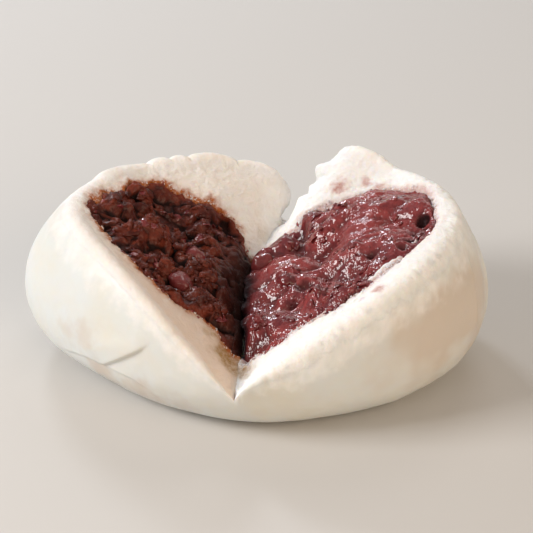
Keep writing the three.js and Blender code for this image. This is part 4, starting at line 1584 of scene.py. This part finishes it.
@dataclass
class PasteMound:
    """Paste on one torn face, as a closed mound of mash, crushed beans and lumps."""

    shape: HalfShape
    rows: int = 360
    columns: int = 248
    overlap: float = 1.13
    overlap_middle: float = 0.45
    thin_rim: float = 0.10
    rim_squeeze: float = 0.3
    slope_step: float = 0.004
    thickness: float = 5.0
    least_thickness: float = 1.0
    sink: float = 1.5
    lift: float = 0.3
    crown: float = 1.6
    crown_reach: float = 3.5
    front_drop: float = 0.0
    front_band: tuple[float, float] = (2.0, 26.0)
    edge_band: tuple[float, float] = (-0.3, 1.0)
    edge_relief: float = 0.35
    lump_sizes: tuple[float, float, float] = (7.0, 3.4, 1.6)
    lump_heights: tuple[float, float, float] = (0.45, 0.40, 0.32)
    tilt: float = 0.5
    fall: float = 1.1
    facets: float = 0.0
    melt: float = 0.12
    tone_shares: tuple[float, float, float] = (0.55, 0.3, 0.15)
    stretch: float = 0.45
    bands: float = 0.0
    band_stretch: float = 0.8
    band_size: float = 5.0
    band_shift: float = 51.0
    warp: float = 1.0
    warp_size: float = 6.0
    warp_shift: float = 31.0
    grit: float = 0.16
    grit_size: float = 1.5
    pit_margin: tuple[float, float] = (0.6, 2.2)
    crease_height: float = 1.2
    crease_from: float = 0.90
    cover: float = 0.9
    cover_loss: float = 2.5
    cover_band: tuple[float, float] = (0.2, 0.9)
    scallop: float = 0.0
    scallop_size: float = 8.0
    scallop_shift: float = 70.0
    front_draw: float = 0.0
    front_part: tuple[float, float] = (0.24, 0.38)
    crease_shade: tuple[float, float] = (0.94, 0.985)
    crease_shade_part: tuple[float, float] = (0.60, 0.72)
    pits: tuple[int, float] = (7, 0.55)
    valleys: tuple[int, float] = (24, 1.3)
    valley_share: float = 0.6
    shade: float = 1.15
    edge_tone: float = 0.0
    seed: int = 3

    @cached_property
    def noise(self) -> Noise:
        """Random field of this mound."""
        return Noise(self.seed)

    @cached_property
    def patch(self) -> tuple[Array, Array]:
        """Shares across the paste's patch, one pair for each point of the mound's grid."""
        return share_grid(self.rows + 1, self.columns + 1)

    def under(self, height: Array, reach: int, deep_shade: float) -> Array:
        """How far the height lies under its own average over a reach, as a share of the depth that counts as
        deep shade; this sets the painted shade of hollows.
        """
        return np.clip((smoothed(height, reach) - height) / deep_shade, 0.0, 1.0)

    def base(self, a: Array, b: Array) -> tuple[Array, Array, Array, Array]:
        """Share, depth, place and normal on the torn face under the mound."""
        share, depth = self.shape.paste.place(a, b)
        share = self.overlap_middle + (share - self.overlap_middle) * self.overlap
        depth = np.minimum(1.0 - (1.0 - depth) * self.overlap, 1.0)
        squeezed = self.thin_rim + self.rim_squeeze * (depth - self.thin_rim)
        depth = np.where(depth < self.thin_rim, squeezed, depth)
        points = SHAPE.face(self.shape, share, depth)
        step = self.slope_step
        along = SHAPE.face(self.shape, share + step, depth) - SHAPE.face(self.shape, share - step, depth)
        down = SHAPE.face(self.shape, share, depth + step) - SHAPE.face(self.shape, share, depth - step)
        return share, depth, points, unit(np.cross(along, down)) * self.shape.half.value

    def lumps(self, points: Array) -> tuple[Array, Array]:
        """Height of the lumps over the mash and their tone.

        Lumps of three sizes are added up with bands, which are ridges of noise. Space is warped by noise
        first, and squeezed along the way down the face so that all of them are drawn out along it.
        """
        slope = unit(PASTE_SLOPE * [self.shape.half.value, 1.0, 1.0])
        shifts = [self.noise.layers(points + self.warp_shift * k, self.warp_size, 3, 0.5) for k in range(3)]
        warped = points + self.warp * np.stack(shifts, axis=-1)
        along = np.sum(warped * slope, axis=-1, keepdims=True)
        drawn = warped - self.stretch * along * slope
        total = np.zeros(points.shape[:-1])
        tones = []
        for size, height in zip(self.lump_sizes, self.lump_heights):
            dome, tone = self.noise.domes(drawn, size, self.tilt, self.fall, self.facets, self.melt)
            total += height * dome
            tones.append(tone)
        long = warped - self.band_stretch * along * slope
        total += self.bands * (0.5 - 2.0 * np.abs(self.noise.at(long + self.band_shift, self.band_size)))
        large, middle, small = self.tone_shares
        return total, large * tones[0] + middle * tones[1] + small * tones[2]

    @cached_property
    def surface(self) -> tuple[Array, dict[str, Array]]:
        """Top of the mound, with the layers tone and hollow.

        The mound crowns by 1 minus an exponential of the distance inside its outline. The hollow layer is
        painted shade:
        it comes from how far the height lies under its own average over a small and over a wide window, and
        it takes in the painted shadow along the crease and in the marked pits.
        """
        a, b = self.patch
        share, depth, points, normals = self.base(a, b)
        inside = paste_reach(self.shape, PASTE_FRAY, share, depth, points)
        lumps, tone = self.lumps(points)
        lumps += self.grit * self.noise.layers(points, self.grit_size, 3, 0.6)
        shaped = np.zeros(points.shape[:-1])
        calm = np.zeros(points.shape[:-1])
        # painted shadow: the paste darkens towards the crease on its front part, where the other half shades
        # it
        dark = smooth_step(b, *self.crease_shade) * (1.0 - smooth_step(share, *self.crease_shade_part))
        in_from_edge = smooth_step(inside, *self.pit_margin)
        for mark in MARKS[self.shape.half]:
            window = mark.at(points) * (1.0 if mark.height > 0.0 else in_from_edge)
            shaped += mark.height * window
            calm = np.maximum(calm, mark.calm * window)
            # the marks add their painted shade in pits, the hole and the pocket
            dark = np.maximum(dark, mark.dark * smooth_step(window, 0.05, 0.45))
            tone = tone + mark.tone * window
        tone = tone + self.edge_tone * bell(inside - 0.5, 1.1)
        edge = smooth_step(inside, *self.edge_band)
        full = 1.0 - np.exp(-np.maximum(inside, 0.0) / self.crown_reach)
        front = smooth_step(-points[..., 1], *self.front_band) * (1.0 - full)
        relief = (lumps * (1.0 - 0.8 * calm) + shaped) * mix(self.edge_relief, 1.0, full)
        raised = self.sink + self.lift + self.crown * full + relief - self.front_drop * front
        height = -self.sink + edge * raised
        at_crease = smooth_step(b, self.crease_from, 1.0)
        height = mix(height, edge * self.crease_height + 0.5 * relief, at_crease * (inside > 0.0))
        lost = self.cover_loss * (1.0 - smooth_step(inside, *self.cover_band))
        height = np.maximum(height, self.cover - paste_dip(inside) - lost)
        direction = unit(mix(normals, UP, smooth_step(b, *TURN_UP)[..., None]))
        bulging = self.noise.layers(points + self.scallop_shift, self.scallop_size, 2, 0.5)
        lobes = self.scallop * (0.3 + bulging) * edge
        lobes = mix(-self.front_draw, lobes, smooth_step(share, *self.front_part))
        points = points.copy()
        points[..., 0] -= self.shape.half.value * lobes * smooth_step(b, *NEAR_CREASE)
        # painted shade: pits and valleys darken by how far they lie under their surroundings
        hollow_shade, valley = (self.under(height, *window) for window in (self.pits, self.valleys))
        sunk = np.clip(self.shade * np.clip(hollow_shade + self.valley_share * valley, 0.0, 1.0), 0.0, 1.0)
        return points + direction * height[..., None], {"tone": tone, "hollow_shade": np.maximum(sunk, dark)}

    def build(self, material: bpy.types.Material) -> None:
        """Closes the mound underneath and makes its piece."""
        top, layers = self.surface
        a, b = self.patch
        from_edge = np.minimum(np.minimum(a, 1.0 - a), b)
        thickness = self.least_thickness + self.thickness * np.clip(5.0 * from_edge, 0.0, 1.0)
        down = -thickness[..., None] * self.base(a, b)[3]
        points, quads, triangles, values = closed_layer(top, down, self.shape.half, layers)
        word = self.shape.half.word
        piece = make_piece(f"paste_mound_{word}", points, quads, triangles, material, values)
        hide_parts(f"bean_paste_{word}")


NOISE_SPAN = 90


@dataclass
class Scatter:
    """Many small lumps joined in one mesh, set on a surface that is already made."""

    name: str
    slot: str
    sizes: tuple[float, float, float]
    spread: float
    uneven: float
    sink: float
    curl: float = 0.0
    stretch: float = 0.2
    dent_size: float = 1.2
    lean: float = 0.35
    tone_spread: float = 0.25
    corners: tuple[int, int] = (8, 5)
    seed: int = 1

    def build(
        self, places: Array, normals: Array, material: bpy.types.Material, layers: dict[str, float]
    ) -> None:
        """Sets one lump at each place.

        A lump is a ball stretched to its sizes, dented by noise and bent by a parabola.

        Args:
            places: Middle of each lump on its surface.
            normals: Direction in which each lump stands.
            material: Finish of the lumps.
            layers: Numbers that the finish reads, the same for a whole lump but for a random part.
        """
        draw = np.random.default_rng(self.seed)
        noise = Noise(self.seed)
        template, quads, triangles = ball(*self.corners)
        count = len(places)
        scale = np.array(self.sizes) * np.exp(self.spread * draw.normal(size=(count, 1)))
        scale = scale * (1.0 + self.stretch * draw.uniform(-1, 1, size=(count, 3)))
        apart = draw.uniform(0, NOISE_SPAN, size=(count, 1, 3))
        dents = noise.at(self.dent_size * template[None] + apart, 1.0)
        local = template[None] * (1.0 + self.uneven * dents[..., None]) * scale[:, None]
        local[..., 2] -= self.curl * local[..., 0] ** 2 / scale[:, None, 0]
        side = unit(np.cross(normals, unit(draw.normal(size=(count, 3)))))
        tilt = unit(normals + self.lean * draw.normal(size=(count, 3)))
        side = unit(np.cross(np.cross(tilt, side), tilt))
        frames = np.stack([side, np.cross(tilt, side), tilt], axis=-1)
        points = np.einsum("nij,nvj->nvi", frames, local)
        points += (places - self.sink * scale[:, 2:3] * normals)[:, None]
        step = (np.arange(count) * len(template))[:, None, None]
        values = {}
        for word, value in layers.items():
            spread = self.tone_spread * draw.uniform(-1, 1, size=(count, 1)) * (word == "tone")
            values[word] = np.broadcast_to(value + spread, (count, len(template))).reshape(-1)
        piece = make_piece(
            self.name,
            points.reshape(-1, 3),
            (quads[None] + step).reshape(-1, 4),
            (triangles[None] + step).reshape(-1, 3),
            material,
            values,
        )


def pick(draw: np.random.Generator, weight: Array, count: int) -> NDArray[np.int64]:
    """Numbers of distinct grid points, drawn by weight."""
    flat = weight.reshape(-1)
    chosen = min(count, int((flat > 0).sum()))
    return draw.choice(flat.size, size=chosen, replace=False, p=flat / flat.sum())


WHOLE_BEANS = {
    Half.RIGHT: ((1.8, 13.6, 18.1),),
    Half.LEFT: ((-17.2, 2.0, 24.1), (-17.5, -12.8, 25.1)),
}


@dataclass
class SmallThings:
    """Tufts of bread, bits of paste, whole beans, broken beans and loose bean skins."""

    tufts: int = 420
    bits: int = 7
    broken: int = 220
    skins: int = 60
    crease_margin: int = 6
    border_stain: float = 0.25
    even_reach: int = 16
    seed: int = 23

    def on_crumb(self, crumb: TornCrumb, dough: bpy.types.Material, paste: bpy.types.Material) -> None:
        """Tufts along the paste's border, and bits of paste outside it."""
        draw = np.random.default_rng(self.seed)
        points, _, inside = crumb.surface
        normals = grid_normals(points) * crumb.shape.half.value
        flat, up = points.reshape(-1, 3), normals.reshape(-1, 3)
        is_right = crumb.shape.half is Half.RIGHT
        word = crumb.shape.half.word
        values = {
            "torn": 1.0,
            "warm": crumb.shape.warmth,
            "rust": self.border_stain * crumb.rust,
            "pink": self.border_stain * crumb.pink,
        }
        near = bell(inside + 0.1, 0.45)
        near[:, -self.crease_margin :] = 0.0
        near[:, :OVER_RINGS] = 0.0
        chosen = pick(draw, near, self.tufts if is_right else self.tufts // 4)
        tufts = Scatter(
            f"bread_tufts_{word}", "dough", sizes=(0.30, 0.22, 0.14), spread=0.3, uneven=0.6, sink=0.55,
            seed=self.seed + 1,
        )
        tufts.build(flat[chosen], up[chosen], dough, values)
        outside = np.where(inside < -0.1, np.exp(inside / 0.4), 0.0)
        outside[:, -self.crease_margin :] = 0.0
        chosen = pick(draw, outside, self.bits)
        bits = Scatter(
            f"paste_bits_{word}", "moist_paste", sizes=(0.45, 0.3, 0.12), spread=0.4, uneven=0.8, sink=0.4,
            seed=self.seed + 2,
        )
        bits.build(flat[chosen], up[chosen], paste, {"tone": 1.0, "hollow_shade": 0.0})

    def on_paste(self, mound: PasteMound, paste: bpy.types.Material, moist: bpy.types.Material) -> None:
        """Whole beans half sunk in the paste, and broken beans and curled skins that lie on it."""
        draw = np.random.default_rng(self.seed + 7)
        points, layers = mound.surface
        normals = grid_normals(points) * mound.shape.half.value
        a, b = mound.patch
        inner = (np.minimum(a, 1.0 - a) > 0.12) & (b > 0.14) & (b < 0.93)
        calm = inner * smooth_step(1.0 - layers["hollow_shade"] / mound.shade, 0.6, 1.0)
        flat, up = points.reshape(-1, 3), normals.reshape(-1, 3)
        evened = [smoothed(normals[..., k], self.even_reach) for k in range(3)]
        smooth_up = np.stack(evened, axis=-1).reshape(-1, 3)
        is_right = mound.shape.half is Half.RIGHT
        word = mound.shape.half.word
        slot = "moist_paste" if is_right else "dark_paste"
        places = [about_plan(*place) for place in WHOLE_BEANS[mound.shape.half]]
        chosen = np.array([np.argmin(np.linalg.norm(flat - place, axis=-1)) for place in places])
        beans = Scatter(
            f"whole_beans_{word}", "moist_paste", sizes=(4.6, 3.5, 3.0), spread=0.06, uneven=0.20,
            sink=0.55 if is_right else 0.25, corners=(36, 24), seed=self.seed + 3,
        )
        # the hollow values mix the dark shade colour evenly into each bean, broken bean and skin
        beans.build(flat[chosen], unit(smooth_up[chosen]), moist, {"tone": 0.9, "hollow_shade": 0.4})
        chosen = pick(draw, calm, self.broken // 3 if is_right else self.broken)
        broken = Scatter(
            f"broken_beans_{word}", slot, sizes=(1.0, 0.75, 0.55), spread=0.35, uneven=0.95, sink=0.35,
            corners=(12, 8), seed=self.seed + 5,
        )
        broken.build(flat[chosen], unit(up[chosen] + smooth_up[chosen]), paste, {"tone": 0.5, "hollow_shade": 0.1})
        chosen = pick(draw, calm, self.skins)
        skins = Scatter(
            f"bean_skins_{word}", "moist_paste", sizes=(1.2, 0.8, 0.14), spread=0.3, uneven=0.5, sink=0.2,
            curl=0.28, corners=(12, 6), seed=self.seed + 4,
        )
        standing = unit(up[chosen] + 0.8 * smooth_up[chosen])
        skins.build(flat[chosen], standing, moist, {"tone": 0.5, "hollow_shade": 0.2})


@dataclass(frozen=True)
class Lamp:
    """Square soft light: its place and width in metres, its power in watts and its colour."""

    name: str
    place: tuple[float, float, float]
    width: float
    power: float
    color: tuple[float, float, float]


LAMPS = (
    Lamp("key", (-0.68, -0.24, 0.44), 0.36, 5.9, (1.0, 0.98, 0.97)),
    Lamp("glint", (-0.36, 0.68, 0.46), 0.16, 2.1, (0.86, 0.92, 1.0)),
    Lamp("back", (0.10, 0.60, 0.62), 0.40, 1.0, (1.0, 0.97, 0.95)),
    Lamp("fill", (0.55, -0.60, 0.36), 0.70, 4.1, (1.0, 0.79, 0.58)),
)


@dataclass
class Studio:
    """Pale floor, soft lights and the camera at the photograph's viewing angle."""

    distance: float = 0.4416
    azimuth: float = 6.0
    elevation: float = 27.0
    lens: float = 115.1
    sensor_width: float = 36.0
    target: tuple[float, float, float] = (0.0017, 0.0003, 0.01472)
    aim_right: float = 0.00117
    aim_up: float = 0.00868
    floor_color: Color = (0.62, 0.605, 0.585, 1.0)
    floor_half: float = 3.0
    world_color: Color = (1.0, 0.93, 0.86, 1.0)
    floor_roughness: float = 0.85
    world_strength: float = 0.31

    def build(self) -> None:
        """Makes the floor, the world, the lights and the camera."""
        self.make_floor()
        self.make_world()
        for lamp in LAMPS:
            self.make_light(lamp)
        self.make_camera()
        bpy.context.scene.view_settings.view_transform = "Standard"

    def make_floor(self) -> None:
        """Flat pale square at the level of the underside."""
        h = self.floor_half
        mesh = bpy.data.meshes.new("floor")
        mesh.from_pydata([(-h, -h, 0), (h, -h, 0), (h, h, 0), (-h, h, 0)], [], [(0, 1, 2, 3)])
        recipe = Recipe("floor")
        recipe.set(Base_Color=self.floor_color, Roughness=self.floor_roughness)
        mesh.materials.append(recipe.material)
        floor = bpy.data.objects.new("floor", mesh)
        bpy.context.scene.collection.objects.link(floor)

    def make_world(self) -> None:
        """Even pale surroundings."""
        world = bpy.data.worlds.new("studio")
        world.use_nodes = True
        background = world.node_tree.nodes["Background"]
        background.inputs["Color"].default_value = self.world_color
        background.inputs["Strength"].default_value = self.world_strength
        bpy.context.scene.world = world

    def make_light(self, lamp: Lamp) -> None:
        """Light that faces the bun."""
        data = bpy.data.lights.new(lamp.name, "AREA")
        data.size = lamp.width
        data.energy = lamp.power
        data.color = lamp.color
        light = bpy.data.objects.new(lamp.name, data)
        light.location = lamp.place
        towards = Vector(self.target) - Vector(lamp.place)
        light.rotation_euler = towards.to_track_quat("-Z", "Y").to_euler()
        bpy.context.scene.collection.objects.link(light)

    def make_camera(self) -> None:
        """Camera on a sphere round the target, aimed a little above and to the right of it."""
        a, e = np.radians(self.azimuth), np.radians(self.elevation)
        back = Vector((np.sin(a) * np.cos(e), -np.cos(a) * np.cos(e), np.sin(e)))
        right = Vector((np.cos(a), np.sin(a), 0.0))
        up = back.cross(right)
        aim = Vector(self.target) + right * self.aim_right + up * self.aim_up
        data = bpy.data.cameras.new("camera")
        data.lens = self.lens
        data.sensor_width = self.sensor_width
        camera = bpy.data.objects.new("camera", data)
        camera.location = aim + back * self.distance
        camera.rotation_euler = (aim - camera.location).to_track_quat("-Z", "Y").to_euler()
        bpy.context.scene.collection.objects.link(camera)
        bpy.context.scene.camera = camera


def main() -> None:
    """Builds the bun and the studio in order."""
    logging.basicConfig(level=logging.INFO, format="%(name)s: %(message)s")
    dough, moist, dark = DoughFinish().material(), MOIST_PASTE.material(), DARK_PASTE.material()
    Dough().build(dough)
    crumb_right = TornCrumb(RIGHT_SHAPE, pink=0.6)
    crumb_left = TornCrumb(
        LEFT_SHAPE, puff=0.10, puff_size=3.0, border_puff=0.10, tuck=0.02, lift=0.005, fringe=0.03,
        puffs_from=0.35, border_swell=0.0, stain_reach=1.0, rust=1.1, seed=6,
    )
    # shade=0.5 halves the painted shade in the right mound's hollows
    mound_right = PasteMound(
        RIGHT_SHAPE, front_drop=0.9, lump_sizes=(10.0, 5.0, 2.4), lump_heights=(0.75, 0.45, 0.14),
        stretch=0.42, bands=0.8, melt=0.13, warp=0.8, grit=0.11, scallop=2.2, front_draw=0.8, shade=0.5,
    )
    # the left mound's painted crease shadow starts further up the face
    mound_left = PasteMound(
        LEFT_SHAPE, lift=0.1, crown=1.0, lump_sizes=(7.5, 3.8, 1.9), lump_heights=(0.85, 0.75, 0.5), tilt=0.6,
        fall=0.5, facets=0.9, melt=0.02, stretch=0.2, warp=0.4, grit=0.10, crease_height=-0.4,
        crease_shade=(0.78, 0.985), edge_tone=0.7, seed=8,
    )
    small = SmallThings()
    for crumb, mound, paste in ((crumb_right, mound_right, moist), (crumb_left, mound_left, dark)):
        crumb.build(dough)
        mound.build(paste)
        small.on_crumb(crumb, dough, moist)
        small.on_paste(mound, paste, moist)
    Studio().build()


if __name__ == "__main__":
    main()
